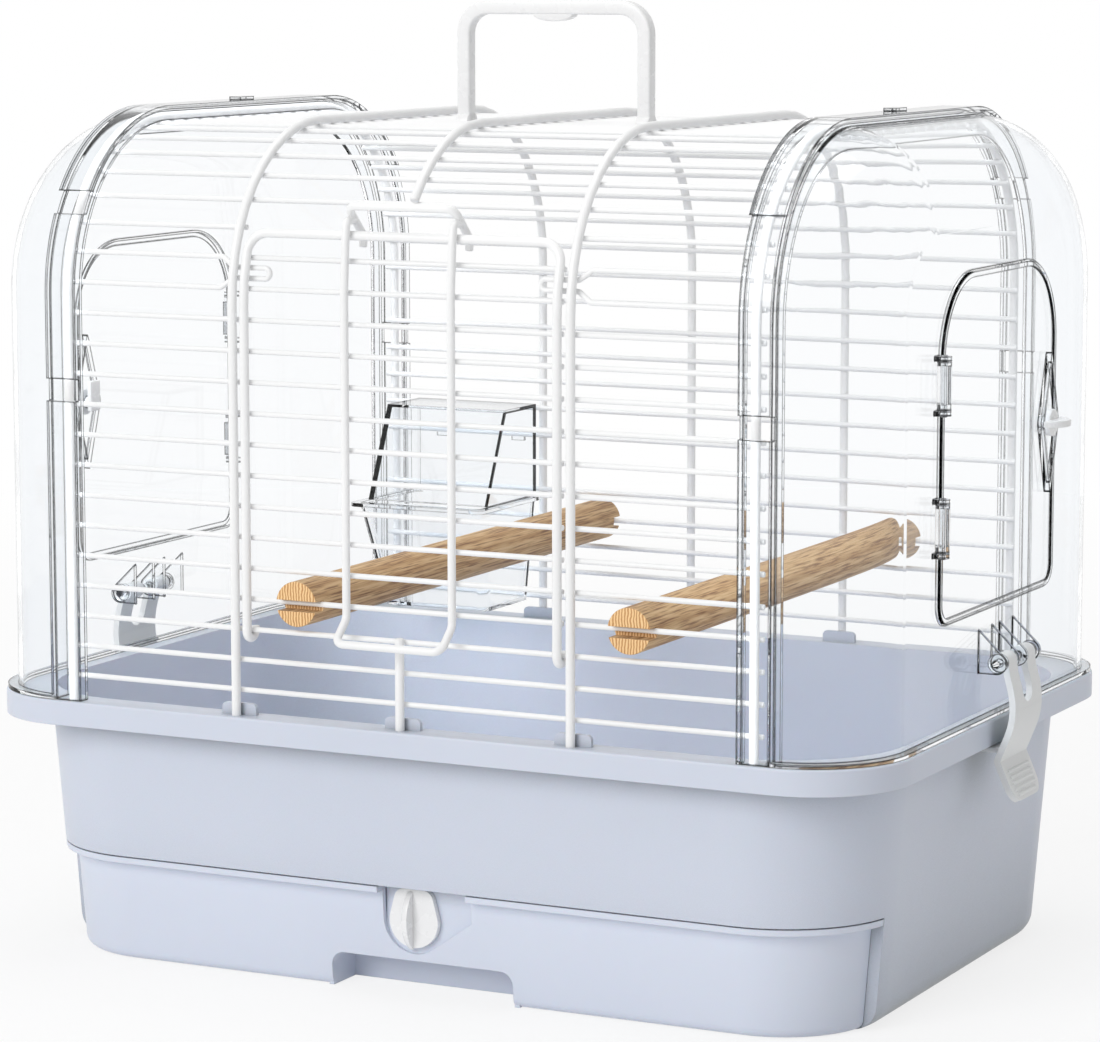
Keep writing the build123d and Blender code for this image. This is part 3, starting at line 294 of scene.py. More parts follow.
def oak_rings(finish):
    """Colour of the growth rings, along the dowel."""
    heart = finish.add("Mapping", Scale=(1.0, 0.07, 1.0), Location=(0.017, 0.0, 0.012))
    warp = finish.add("TexNoise", Scale=55.0, Detail=3.0)
    bend = finish.add("VectorMath", operation="MULTIPLY_ADD")
    bend.inputs[1].default_value = (0.006, 0.006, 0.006)
    rings = finish.add("TexWave", wave_type="RINGS", rings_direction="Y", Scale=RINGS_PER_METRE,
                       Distortion=1.4, Detail=3.0, Detail_Scale=2.2)
    finish.join(finish.place, heart.inputs["Vector"])
    finish.join(heart.outputs["Vector"], warp.inputs["Vector"])
    finish.join(warp.outputs["Color"], bend.inputs[0])
    finish.join(heart.outputs["Vector"], bend.inputs[2])
    finish.join(bend.outputs["Vector"], rings.inputs["Vector"])
    return finish.ramp(rings.outputs["Fac"], (0.0, srgb(0.87, 0.75, 0.58)), (0.55, srgb(0.84, 0.71, 0.54)),
                       (1.0, srgb(0.77, 0.63, 0.46)))


print("rings per metre:", RINGS_PER_METRE)

# %% [markdown]
# ## Sawn ends of the oak
# An end is cut across the fibres and drinks more oil, so it is warmer than the side,
# and its rings show as dark upright lines. The end is known by its normal, which
# points along the dowel.

# %% Sawn ends
def oak_end(finish):
    """Colour of a sawn end."""
    lines = finish.add("TexWave", bands_direction="X", Scale=230.0, Distortion=4.5, Detail=4.0)
    finish.join(finish.place, lines.inputs["Vector"])
    return finish.ramp(lines.outputs["Fac"], (0.1, srgb(0.97, 0.83, 0.62)), (0.6, srgb(0.90, 0.71, 0.47)),
                       (0.95, srgb(0.74, 0.52, 0.32)))


def at_end(finish):
    """1 on the ends of the dowel and 0 on its side."""
    facing = finish.add("SeparateXYZ")
    either_way = finish.add("Math", operation="ABSOLUTE")
    share = finish.add("MapRange", From_Min=0.6, From_Max=0.95)
    finish.join(finish.add("TexCoord").outputs["Normal"], facing.inputs[0])
    finish.join(facing.outputs["Y"], either_way.inputs[0])
    finish.join(either_way.outputs["Value"], share.inputs["Value"])
    return share.outputs["Result"]


print("ends: lines across, side: rings along")

# %% [markdown]
# ## The whole oak
# Fine pores and fibres, both drawn out along the dowel, are multiplied into one grain.
# It darkens the rings, roughens the shine and lifts the surface.

# %% Oak
def oak(name):
    """Turned oak for a dowel that lies along Y."""
    finish = Finish(name)
    grain = finish.add("Math", operation="MULTIPLY")
    pores = finish.noise(900, 3, (1.0, 0.06, 1.0))
    finish.join(pores, grain.inputs[0])
    finish.join(finish.noise(1700, 2, (1.0, 0.03, 1.0)), grain.inputs[1])
    dots = finish.ramp(grain.outputs["Value"], (0.14, srgb(0.52, 0.36, 0.24)), (0.24, srgb(0.92, 0.87, 0.82)),
                       (0.36, WHITE))
    whole = finish.add("Mix", data_type="RGBA")
    finish.join(at_end(finish), whole.inputs["Factor"])
    finish.join(finish.multiplied(oak_rings(finish), dots, 0.8), whole.inputs["A"])
    finish.join(oak_end(finish), whole.inputs["B"])
    finish.join(whole.outputs["Result"], finish.shader.inputs["Base Color"])
    finish.join(finish.spread(pores, 0.5, 0.68), finish.shader.inputs["Roughness"])
    finish.join(finish.bump(grain.outputs["Value"], 0.5, 0.00015), finish.shader.inputs["Normal"])
    return finish


perch_oak = oak("turned_oak")
print("wood finish:", perch_oak.material.name)

# %% [markdown]
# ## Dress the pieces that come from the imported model
# The big mouldings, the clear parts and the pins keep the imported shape, so they only
# get a finish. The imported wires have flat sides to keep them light, and the next
# cells replace them with round ones.

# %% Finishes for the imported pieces
def finish_for(name):
    """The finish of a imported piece, by what its name says it is."""
    if name == "tub":
        return tub_blue
    if name == "drawer":
        return drawer_lit_blue
    if "pin" in name or name.startswith("feeder"):
        return clear_thin
    if name.endswith("shell") or name.endswith("end_door"):
        return clear_shell
    if name.startswith("perch"):
        return perch_oak
    if "clasp" in name:
        return shaded_clasp_white
    if "wire" in name or "hoop" in name or name in ("front_post", "front_door_frame", "door_bail"):
        return wire_coat
    return white_hard


for name, node in nodes.items():
    node.data.materials.clear()
    node.data.materials.append(finish_for(name).material)
print(len(nodes), "packed pieces dressed")

# %% [markdown]
# ## Helpers for modelling by hand
# A piece starts from a primitive that is added at its size and place. `rod` and
# `block` add one, `soften` bevels its edges and `cut_away` takes a second shape out of
# it, as a saw or a drill would. Sizes and places are given in millimetres. Everything
# is deselected first, because an operator acts on all that is selected.

# %% Start and cut of a piece
def alone():
    """Nothing selected, object mode."""
    if bpy.context.object and bpy.context.object.mode != "OBJECT":
        bpy.ops.object.mode_set(mode="OBJECT")
    bpy.ops.object.select_all(action="DESELECT")


def rod(radius, length, place, along, sides=48):
    """A round bar round its place, with its length along x, y or z."""
    turn = {"x": (0, pi / 2, 0), "y": (pi / 2, 0, 0), "z": (0, 0, 0)}[along]
    alone()
    bpy.ops.mesh.primitive_cylinder_add(vertices=sides, radius=radius * MM, depth=length * MM,
                                        location=[v * MM for v in place], rotation=turn)
    bpy.ops.object.transform_apply(location=False, rotation=True, scale=False)
    return bpy.context.object


def block(size, place):
    """A square block round its place."""
    alone()
    bpy.ops.mesh.primitive_cube_add(size=1, location=[v * MM for v in place], scale=[v * MM for v in size])
    bpy.ops.object.transform_apply(location=False, rotation=False, scale=True)
    return bpy.context.object


def use_modifier(piece, kind, **values):
    """Adds a modifier, sets it and applies it."""
    alone()
    bpy.context.view_layer.objects.active = piece
    piece.select_set(True)
    modifier = piece.modifiers.new(kind.lower(), kind)
    for key, value in values.items():
        setattr(modifier, key, value)
    bpy.ops.object.modifier_apply(modifier=modifier.name)


def soften(piece, width, segments=3, sharper_than=50):
    """Rounds the edges that turn by more than an angle in degrees."""
    use_modifier(piece, "BEVEL", width=width * MM, segments=segments, limit_method="ANGLE",
                 angle_limit=radians(sharper_than))


def cut_away(pieces, cutter):
    """Takes the cutter's shape out of each piece, and throws the cutter away."""
    for piece in pieces:
        use_modifier(piece, "BOOLEAN", operation="DIFFERENCE", object=cutter, solver="EXACT")
    bpy.data.objects.remove(cutter)


print("helpers: rod, block, soften and cut_away")

# %% [markdown]
# ## Picking faces and edges
# With no mouse, faces and edges are selected in code, by where they lie or which way
# they face. These two helpers clear the selection and pick what passes a test.

# %% Selection in edit mode
def pick_faces(piece, wanted):
    """Selects the faces that pass a test, in edit mode."""
    bpy.ops.mesh.select_mode(type="FACE")
    bpy.ops.mesh.select_all(action="DESELECT")
    mesh = bmesh.from_edit_mesh(piece.data)
    for face in mesh.faces:
        face.select_set(wanted(face))
    bmesh.update_edit_mesh(piece.data)


def pick_edges(piece, wanted):
    """Selects the edges whose two ends pass a test, in edit mode."""
    bpy.ops.mesh.select_mode(type="EDGE")
    bpy.ops.mesh.select_all(action="DESELECT")
    mesh = bmesh.from_edit_mesh(piece.data)
    for edge in mesh.edges:
        edge.select_set(wanted(edge.verts[0].co, edge.verts[1].co))
    bmesh.update_edit_mesh(piece.data)


print("helpers: pick_faces and pick_edges")

# %% [markdown]
# ## Copies and the end of a piece
# What repeats on the carrier is modelled once and copied, each copy with its own mesh.
# `end_piece` closes a piece: the normals face out, the shading is smooth except at
# real edges, and the object goes to the origin with its place kept in its mesh.
# `stand_for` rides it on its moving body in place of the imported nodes.

# %% Copies and end of a piece
def copied(piece, shift):
    """A copy with its own mesh, moved by millimetres."""
    twin = piece.copy()
    twin.data = piece.data.copy()
    bpy.context.scene.collection.objects.link(twin)
    twin.location = piece.location + Vector(shift) * MM
    return twin


def joined(pieces, name):
    """Several objects made one."""
    alone()
    for piece in pieces:
        piece.select_set(True)
    bpy.context.view_layer.objects.active = pieces[0]
    bpy.ops.object.join()
    pieces[0].name = pieces[0].data.name = name
    return pieces[0]


def facing_out(piece):
    """Turns every face of a closed piece outwards."""
    bpy.context.view_layer.objects.active = piece
    bpy.ops.object.mode_set(mode="EDIT")
    bpy.ops.mesh.select_all(action="SELECT")
    bpy.ops.mesh.remove_doubles(threshold=0.00001)
    bpy.ops.mesh.normals_make_consistent(inside=False)
    bpy.ops.object.mode_set(mode="OBJECT")


def end_piece(piece, name, finish, smooth=35):
    """Cleans a modelled piece, names it and gives it its finish."""
    alone()
    piece.select_set(True)
    bpy.context.view_layer.objects.active = piece
    bpy.ops.object.transform_apply(location=True, rotation=True, scale=True)
    facing_out(piece)
    bpy.ops.object.shade_smooth_by_angle(angle=radians(smooth))
    piece.name = piece.data.name = name
    piece.data.materials.clear()
    piece.data.materials.append(finish.material)
    return piece


def mirrored(piece, name, about_y=False):
    """A copy on the other end of the carrier, mirrored, or turned half round if about_y."""
    alone()
    piece.select_set(True)
    bpy.context.view_layer.objects.active = piece
    bpy.ops.object.duplicate()
    copy = bpy.context.object
    copy.scale = (-1, -1 if about_y else 1, 1)
    bpy.ops.object.transform_apply(location=False, rotation=False, scale=True)
    facing_out(copy)
    copy.name = copy.data.name = name
    return copy


def stand_for(piece, body, slot, *replaced):
    """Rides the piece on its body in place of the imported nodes."""
    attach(piece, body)
    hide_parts(*replaced)


print("helpers: copied, joined, end_piece, mirrored and stand_for")

# %% [markdown]
# ## Bending wire
# A wire bender feeds straight wire and turns it round a pin. The same two moves make
# every thick wire here: extrude pushes the end on, and spin turns it round a centre.
# The helper takes the corners of the route and a bend radius for each, and works out
# the runs and turns, so the wire is one clean tube from end to end. A flat bar is bent
# the same way from a rectangle.

# %% Wire bender
WIRE_SIDES = 20
TURN_STEP = 9                            # degrees of a bend between two rings of the wire


def bend_along(bar, corners, bends):
    """Pulls the only face of a bar along its corners, with a bend radius for each between."""
    bpy.ops.object.mode_set(mode="EDIT")
    bpy.ops.mesh.select_all(action="SELECT")
    here = corners[0]
    for before, corner, after, radius in zip(corners, corners[1:-1], corners[2:], bends):
        along = (corner - before).normalized()
        onward = (after - corner).normalized()
        angle = along.angle(onward)
        cut = radius * tan(angle / 2)
        if (corner - along * cut - here).length > 1e-7:
            bpy.ops.mesh.extrude_region_move(TRANSFORM_OT_translate={"value": corner - along * cut - here})
        axis = along.cross(onward).normalized()
        # the spin operator counts its angle the other way round
        bpy.ops.mesh.spin(steps=max(2, ceil(angle / radians(TURN_STEP))), angle=angle, axis=-axis,
                          center=corner - along * cut + axis.cross(along) * radius)
        here = corner + onward * cut
    bpy.ops.mesh.extrude_region_move(TRANSFORM_OT_translate={"value": corners[-1] - here})
    # the spins leave the faces they started from inside the bar
    bpy.ops.mesh.select_all(action="DESELECT")
    bpy.ops.mesh.select_interior_faces()
    bpy.ops.mesh.delete(type="FACE")
    bpy.ops.object.mode_set(mode="OBJECT")
    return bar


def bend_wire(route, bends, radius, sides=WIRE_SIDES):
    """Round wire along a route of corners in millimetres."""
    corners = [Vector(p) * MM for p in route]
    alone()
    turn = (corners[1] - corners[0]).to_track_quat("Z", "Y").to_euler()
    bpy.ops.mesh.primitive_circle_add(vertices=sides, radius=radius * MM, fill_type="NGON",
                                      location=corners[0], rotation=turn)
    bpy.ops.object.transform_apply(location=False, rotation=True, scale=False)
    return bend_along(bpy.context.object, corners, [b * MM for b in bends])


def bend_bar(route, bends, thick, wide, corner=0):
    """Flat bar that starts upright, with its own corners rounded if a radius is given."""
    corners = [Vector(p) * MM for p in route]
    alone()
    bpy.ops.mesh.primitive_plane_add(size=1, location=corners[0])
    bar = bpy.context.object
    bar.scale = (thick * MM, wide * MM, 1)
    bpy.ops.object.transform_apply(location=False, rotation=False, scale=True)
    if corner:
        bpy.ops.object.mode_set(mode="EDIT")
        bpy.ops.mesh.select_all(action="SELECT")
        bpy.ops.mesh.bevel(affect="VERTICES", offset=corner * MM, segments=4)
        bpy.ops.object.mode_set(mode="OBJECT")
    return bend_along(bar, corners, [b * MM for b in bends])


def eased_ends(wire, amount):
    """Bevels the flat ends of a wire, its only faces with more than four sides."""
    alone()
    wire.select_set(True)
    bpy.context.view_layer.objects.active = wire
    bpy.ops.object.mode_set(mode="EDIT")
    pick_faces(wire, lambda face: len(face.verts) > 4)
    bpy.ops.mesh.bevel(offset=amount * MM, segments=3)
    bpy.ops.object.mode_set(mode="OBJECT")
    return wire


print("a round wire has", WIRE_SIDES, "sides")

# %% [markdown]
# ## Sizes of the cage
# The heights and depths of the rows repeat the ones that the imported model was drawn
# with. Rows are counted from the rim up the front and round the arch of the roof: three
# run the whole width under the door, ten and one more fill the bays beside it, and the
# rest pass over it.

# %% Rows of the cage
HOOP, THIN = 2.0, 1.2                    # wire radii
OUTER_X, HOOP_PITCH = 162.6, 80.0
HOOP_Y, HOOP_TOP, ARCH = 147.4, 372.3, 75.0
WELD = 0.05
FIRST_ROW, ROW_PITCH, FRONT_ROWS = 130.8, 13.3, 21
SILL_ROWS, BAY_END, ABOVE_STOP, ROOF_ROW = 3, 13, 15, 16
ROOF_GAPS = 12
WIRE_END_X = OUTER_X + 3.0
FOOT_Z = 114.0
ARCH_Z, ARCH_Y = HOOP_TOP - ARCH, HOOP_Y - ARCH
INWARD = HOOP + THIN - WELD
WIRE_Y, WIRE_ARCH = HOOP_Y - INWARD, ARCH - INWARD
ROOF_Z = HOOP_TOP - INWARD


def row_place(row):
    """Y and Z of a row on the front."""
    z = FIRST_ROW + row * ROW_PITCH
    if z <= ARCH_Z:
        return -WIRE_Y, z
    angle = min((z - ARCH_Z) / WIRE_ARCH, pi / 2)
    return -ARCH_Y - WIRE_ARCH * cos(angle), ARCH_Z + WIRE_ARCH * sin(angle)


front_places = [row_place(k) for k in range(FRONT_ROWS)]
print("row heights", [round(z, 1) for y, z in front_places])

# %% [markdown]
# ## Thin wires
# One bar is modelled with eased ends, then copied to every row of its panel. A real
# panel is cut from straight wire and welded to the hoops in a jig, so all bars of a
# panel are alike.

# %% Straight bars
def rows_of(name, x0, x1, places, body, node):
    """Copies of one bar at each (y, z), joined into a panel."""
    y0, z0 = places[0]
    first = eased_ends(bend_wire([(x0, y0, z0), (x1, y0, z0)], [], THIN, sides=14), 0.4)
    bars = [first] + [copied(first, (0, y - y0, z - z0)) for y, z in places[1:]]
    panel = end_piece(joined(bars, name), name, wire_coat)
    stand_for(panel, body, "door_wire" if body == "front_door" else "cage_wire", node)
    print(name, len(places), "bars")


bay_places = front_places[SILL_ROWS:BAY_END] + [front_places[ABOVE_STOP]]
roof_flat = [(-ARCH_Y + 2 * ARCH_Y * k / ROOF_GAPS, ROOF_Z) for k in range(ROOF_GAPS + 1)]
arch_places = front_places[ROOF_ROW:]
over_roof = arch_places + roof_flat + [(-y, z) for y, z in reversed(arch_places)]
back_places = [(-y, z) for y, z in front_places[:ROOF_ROW]]
inner_x = HOOP_PITCH - HOOP
rows_of("sill_bars", -WIRE_END_X, WIRE_END_X, front_places[:SILL_ROWS], "carrier", "sill_wires")
rows_of("left_bay_bars", -WIRE_END_X, -inner_x, bay_places, "carrier", "front_wires_left")
rows_of("right_bay_bars", inner_x, WIRE_END_X, bay_places, "carrier", "front_wires_right")
rows_of("roof_bars", -WIRE_END_X, WIRE_END_X, over_roof, "carrier", "roof_wires")
rows_of("back_bars", -WIRE_END_X, WIRE_END_X, back_places, "carrier", "back_wires")

# %% [markdown]
# ## Thick hoops
# Each whole hoop is one bend from its foot in the rim, up the front, over the roof
# and down the back. It is bent once and copied to its four places.

# %% Whole hoops
hoop_route = [(0, -HOOP_Y, FOOT_Z), (0, -HOOP_Y, HOOP_TOP), (0, HOOP_Y, HOOP_TOP), (0, HOOP_Y, FOOT_Z)]
pattern = bend_wire(hoop_route, [ARCH, ARCH], HOOP)
hoop_places = {"far_left": -OUTER_X, "left": -HOOP_PITCH, "right": HOOP_PITCH, "far_right": OUTER_X}
for side, x in hoop_places.items():
    hoop = end_piece(copied(pattern, (x, 0, 0)), side + "_hoop", wire_coat, 50)
    stand_for(hoop, "carrier", "hoop_wire", "hoop_" + side)
bpy.data.objects.remove(pattern)
print(len(hoop_places), "hoops of", len(hoop.data.polygons), "faces")

# %% [markdown]
# ## Middle hoop and post
# The middle hoop would cross the door, so it is cut short on the arch above it. Its
# front corner is placed so that the bend starts right at the cut. A short post stands
# below the door's sill.

# %% Middle hoop and post
SILL_Z = row_place(SILL_ROWS - 1)[1]
cut_turn = asin((row_place(ROOF_ROW)[1] + 1.6 - ARCH_Z) / ARCH)
cut_point = (0, -ARCH_Y - ARCH * cos(cut_turn), ARCH_Z + ARCH * sin(cut_turn))
corner_y = -ARCH_Y - ARCH * tan((pi / 2 - cut_turn) / 2)
middle = bend_wire([cut_point, (0, corner_y, HOOP_TOP), (0, HOOP_Y, HOOP_TOP), (0, HOOP_Y, FOOT_Z)],
                   [ARCH, ARCH], HOOP)
post = bend_wire([(0, -HOOP_Y, FOOT_Z), (0, -HOOP_Y, SILL_Z + THIN + 0.8)], [], HOOP)
stand_for(end_piece(eased_ends(middle, 0.6), "middle_hoop", wire_coat, 50), "carrier", "hoop_wire",
          "hoop_middle")
stand_for(end_piece(eased_ends(post, 0.7), "door_post", wire_coat, 50), "carrier", "hoop_wire", "front_post")
print("middle hoop", len(middle.data.polygons), "faces, post", len(post.data.polygons), "faces")

# %% [markdown]
# ## Stop loops
# Beside the door two rows close into a narrow loop that reaches in behind the door's
# frame, so that the door can't swing into the cabin. Each is bent from one wire, and
# the left one is a mirrored copy.

# %% Stop loops
STOP_REACH, STOP_HALF, STOP_SET_IN = 15.8, 2.3, 0.7
STOP_NEAR, STOP_FAR, STOP_TIP = HOOP_PITCH + 1.5, HOOP_PITCH + 7.5, HOOP_PITCH - STOP_REACH
(low_y, low_z), (high_y, high_z) = row_place(BAY_END), row_place(BAY_END + 1)
stop_z = (low_z + high_z) / 2
stop_y = STOP_SET_IN - ARCH_Y - WIRE_ARCH * cos(asin((stop_z - ARCH_Z) / WIRE_ARCH))
lower, upper = stop_z - STOP_HALF, stop_z + STOP_HALF
stop_route = [(WIRE_END_X, low_y, low_z), (STOP_FAR, low_y, low_z),
              (STOP_NEAR, stop_y, lower), (STOP_TIP, stop_y, lower),
              (STOP_TIP, stop_y, upper), (STOP_NEAR, stop_y, upper),
              (STOP_FAR, high_y, high_z), (WIRE_END_X, high_y, high_z)]
tight = STOP_HALF * 0.98                 # a hair under half the loop, so that a short run is left
right_stop = end_piece(bend_wire(stop_route, [3, 3, tight, tight, 3, 3], THIN, sides=14), "right_stop_loop",
                       wire_coat, 50)
left_stop = mirrored(right_stop, "left_stop_loop")
stand_for(right_stop, "carrier", "cage_wire", "stop_wire_right")
stand_for(left_stop, "carrier", "cage_wire", "stop_wire_left")
print("stop loops", len(right_stop.data.polygons), "faces each")

# %% [markdown]
# ## Front door
# The frame is bent from one wire: a hook round the sill bar, a leg, the curve of the
# roof, the top and the same again down the other side. The hook is two square
# corners under the sill bar and a short end behind it, all with the same bend.

# %% Door frame
FRAME_R = 2.0
DOOR_HALF, DOOR_TOP, DOOR_CORNER = 74.0, 327.5, 9.0
DOOR_Y = WIRE_Y + THIN + 0.3 + FRAME_R
DOOR_ARCH = ARCH + DOOR_Y - HOOP_Y
HOOK_R, HOOK_BACK = DOOR_Y - WIRE_Y, radians(20)
turn = asin((DOOR_TOP - ARCH_Z) / sqrt(DOOR_ARCH ** 2 + DOOR_CORNER ** 2)) - atan(DOOR_CORNER / DOOR_ARCH)
leg = [(-WIRE_Y + HOOK_R * cos(HOOK_BACK), SILL_Z + HOOK_R * sin(HOOK_BACK)),
       (-WIRE_Y + HOOK_R, SILL_Z - HOOK_R),
       (-DOOR_Y, SILL_Z - HOOK_R),
       (-DOOR_Y, ARCH_Z + DOOR_ARCH * tan(turn / 2)),
       (-ARCH_Y - DOOR_ARCH * cos(turn) + DOOR_CORNER * sin(turn), DOOR_TOP)]
leg_bends = [HOOK_R * 0.98, HOOK_R * 0.98, DOOR_ARCH, DOOR_CORNER]


def there_and_back(half, side_route):
    """A route up one side at -half, across and down the other side."""
    return [(-half, y, z) for y, z in side_route] + [(half, y, z) for y, z in reversed(side_route)]


frame_wire = bend_wire(there_and_back(DOOR_HALF, leg), leg_bends + leg_bends[::-1], FRAME_R)
end_piece(eased_ends(frame_wire, 0.7), "door_frame", wire_coat, 50)
stand_for(frame_wire, "front_door", "door_wire", "front_door_frame")
print("door frame", len(frame_wire.data.polygons), "faces")

# %% [markdown]
# ## Bars of the door
# Thin bars are welded to the inner face of the frame, at the heights of the cage's
# own rows, so that the lines run on from the bays across the door.

# %% Door bars
inner_arch = DOOR_ARCH - FRAME_R - THIN + WELD
door_bar_y = DOOR_Y - FRAME_R - THIN + WELD
door_places = []
for _, z in front_places[SILL_ROWS:ABOVE_STOP]:
    y = -door_bar_y if z <= ARCH_Z else -ARCH_Y - sqrt(inner_arch ** 2 - (z - ARCH_Z) ** 2)
    door_places.append((y, z))
rows_of("door_bars", -DOOR_HALF - 1.5, DOOR_HALF + 1.5, door_places, "front_door", "front_door_wires")

# %% [markdown]
# ## Latch bail
# The latch is a second wire that slides on the door. Its long loop ends in a pull bar
# that stands out at the foot, and its top hooks over the door's top wire. A short
# lever loop is welded to the hooks, for a finger to lift.

# %% Latch bail
BAIL_R, BAIL_HALF = 1.75, 25.2
BAIL_Y = door_bar_y + THIN + 0.3 + BAIL_R
PULL_Z, PULL_OUT, PULL_DROP = 166.0, 10.2, 9.2
top_y = -ARCH_Y - sqrt(DOOR_ARCH ** 2 - (DOOR_TOP - ARCH_Z) ** 2)
front_y = top_y - FRAME_R - BAIL_R - 1.2
hook_z = DOOR_TOP + FRAME_R + BAIL_R + 2.6
lever_low = (top_y + 11.0, DOOR_TOP - 1.0)
lever_top = (top_y - 3.0, DOOR_TOP + 12.5)
lever_end = (lever_low[0] - 1.0, lever_low[1] - 4.5)
share = (hook_z - lever_low[1]) / (lever_top[1] - lever_low[1])
meet_y = lever_low[0] + (lever_top[0] - lever_low[0]) * share
upright = [(meet_y, hook_z), (front_y + 1.0, hook_z), (front_y, DOOR_TOP - 2), (-BAIL_Y, ARCH_Z + 7),
           (-BAIL_Y, PULL_Z), (-BAIL_Y - PULL_OUT, PULL_Z - PULL_DROP)]
loop = bend_wire(there_and_back(BAIL_HALF, upright), [2.5, 2.5, 60, 5, 4, 4, 5, 60, 2.5, 2.5], BAIL_R)
lever = bend_wire(there_and_back(BAIL_HALF, [lever_end, lever_low, lever_top]), [2.5, 4, 4, 2.5], BAIL_R)
bail = joined([eased_ends(loop, 0.6), eased_ends(lever, 0.6)], "latch_bail")
end_piece(bail, "latch_bail", wire_coat, 50)
stand_for(bail, "door_bail", "door_wire", "door_bail")
print("latch bail", len(bail.data.polygons), "faces")

# %% [markdown]
# ## Perches
# Each perch is a thick oak dowel with a slot sawn into both ends, and it is pushed
# over one bar of the front and one of the back. The slot is cut with a boolean, as a
# saw would cut it, and the edges are eased with a small bevel, so that they don't
# hurt a bird's feet. One dowel is made and copied.

# %% Perches
PERCH_R, PERCH_HALF, PERCH_SLOT = 9.75, HOOP_Y + 2.2, 4.6
PERCH_X = {"left": -48.7, "right": 107.6}
PERCH_Z = row_place(SILL_ROWS)[1]
SLOT_TOP = PERCH_Z + THIN + 0.3
SLOT_DEEP = PERCH_HALF - WIRE_Y + THIN + 0.3
PAST = 10.0                              # a cutter reaches this far past what it cuts

pattern = rod(PERCH_R, 2 * PERCH_HALF, (0, 0, PERCH_Z), "y", 64)
for end in (1, -1):
    saw_y = end * (PERCH_HALF + PAST / 2 - SLOT_DEEP / 2)
    saw = block((4 * PERCH_R, SLOT_DEEP + PAST, PERCH_SLOT), (0, saw_y, SLOT_TOP - PERCH_SLOT / 2))
    cut_away([pattern], saw)
soften(pattern, 0.7, 3, 40)
for side, x in PERCH_X.items():
    perch = end_piece(copied(pattern, (x, 0, 0)), side + "_perch", perch_oak, 40)
    stand_for(perch, "carrier", "oak", "perch_" + side)
    print(perch.name, len(perch.data.polygons), "faces")
bpy.data.objects.remove(pattern)

# %% [markdown]
# ## Carry handle
# The handle is a moulded bow whose feet clip round a bar of the roof, so it folds
# flat both ways. Its section is a rectangle with eased corners, bent like a wire. The
# feet are short rods round the roof's bar, with a bore a hair wider than the bar.

# %% Handle bow and feet
HANDLE_HALF, HANDLE_BAR, HANDLE_DEEP, HANDLE_TOP = 47.8, 6.3, 6.8, HOOP_TOP + 51.7
HANDLE_CORNER, HANDLE_FOOT, FOOT_BORE = 15.0, 5.2, THIN + 0.08
post_x = HANDLE_HALF - HANDLE_BAR / 2
bar_z = HANDLE_TOP - HANDLE_BAR / 2
bow = bend_bar([(-post_x, 0, ROOF_Z), (-post_x, 0, bar_z), (post_x, 0, bar_z), (post_x, 0, ROOF_Z)],
               [HANDLE_CORNER - HANDLE_BAR / 2] * 2, HANDLE_BAR, HANDLE_DEEP, corner=1.1)
handle_parts = [bow]
for x in (-post_x, post_x):
    foot = rod(HANDLE_FOOT, HANDLE_BAR, (x, 0, ROOF_Z), "x", 48)
    cut_away([foot, bow], rod(FOOT_BORE, 2 * HANDLE_BAR, (x, 0, ROOF_Z), "x", 32))
    soften(foot, 0.6, 3, 40)
    handle_parts.append(foot)
print("bow", len(bow.data.polygons), "faces")

# %% [markdown]
# ## Finger rest
# A shallow swelling under the handle's bar tells the fingers where the middle is. It
# is a rod squeezed flat, with its upper half inside the bar.

# %% Finger rest
REST_HALF, REST_DROP = 9.8, 3.0
rest = rod(1, 1, (0, 0, HANDLE_TOP - HANDLE_BAR), "y", 64)
rest.scale = (REST_HALF, HANDLE_DEEP - 1.0, REST_DROP)
bpy.ops.object.transform_apply(location=False, rotation=False, scale=True)
soften(rest, 0.6, 3, 40)
handle = end_piece(joined(handle_parts + [rest], "handle"), "handle", white_hard)
stand_for(handle, "carry_handle", "white_handle", "carry_handle")
print("handle", len(handle.data.polygons), "faces")

# %% [markdown]
# ## Drawer knob
# The knob is a drop-shaped disc that turns on the drawer's front. It is a flat rod
# joined to a block, whose top edge is drawn in until its sides run on from the round,
# and whose two top corners are rounded.

# %% Knob disc
KNOB_X, KNOB_BACK, KNOB_Z = -3.6, -126.96, 33.5
KNOB_R, KNOB_TIP, KNOB_LEAN, KNOB_THICK = 11.7, 14.0, radians(15), 2.6
KNOB_FRONT, KNOB_MID = KNOB_BACK - KNOB_THICK, KNOB_BACK - KNOB_THICK / 2
tip_low, low_half = KNOB_R * sin(KNOB_LEAN), KNOB_R * cos(KNOB_LEAN)
tip_half = (KNOB_R - KNOB_TIP * sin(KNOB_LEAN)) / cos(KNOB_LEAN)

disc = rod(KNOB_R, KNOB_THICK, (KNOB_X, KNOB_MID, KNOB_Z), "y", 96)
tip = block((2 * low_half, KNOB_THICK, KNOB_TIP - tip_low),
            (KNOB_X, KNOB_MID, KNOB_Z + (tip_low + KNOB_TIP) / 2))
bpy.ops.object.mode_set(mode="EDIT")
pick_faces(tip, lambda face: face.normal.z > 0.9)
bpy.ops.transform.resize(value=(tip_half / low_half, 1, 1))
pick_edges(tip, lambda a, b: min(a.z, b.z) > 0 and abs(a.x - b.x) < 1e-6 and abs(a.y - b.y) > 1e-6)
bpy.ops.mesh.bevel(offset=3.6 * MM, segments=8)
bpy.ops.object.mode_set(mode="OBJECT")
use_modifier(disc, "BOOLEAN", operation="UNION", object=tip, solver="EXACT")
bpy.data.objects.remove(tip)
soften(disc, 0.5, 3, 60)
print("knob disc", len(disc.data.polygons), "faces")

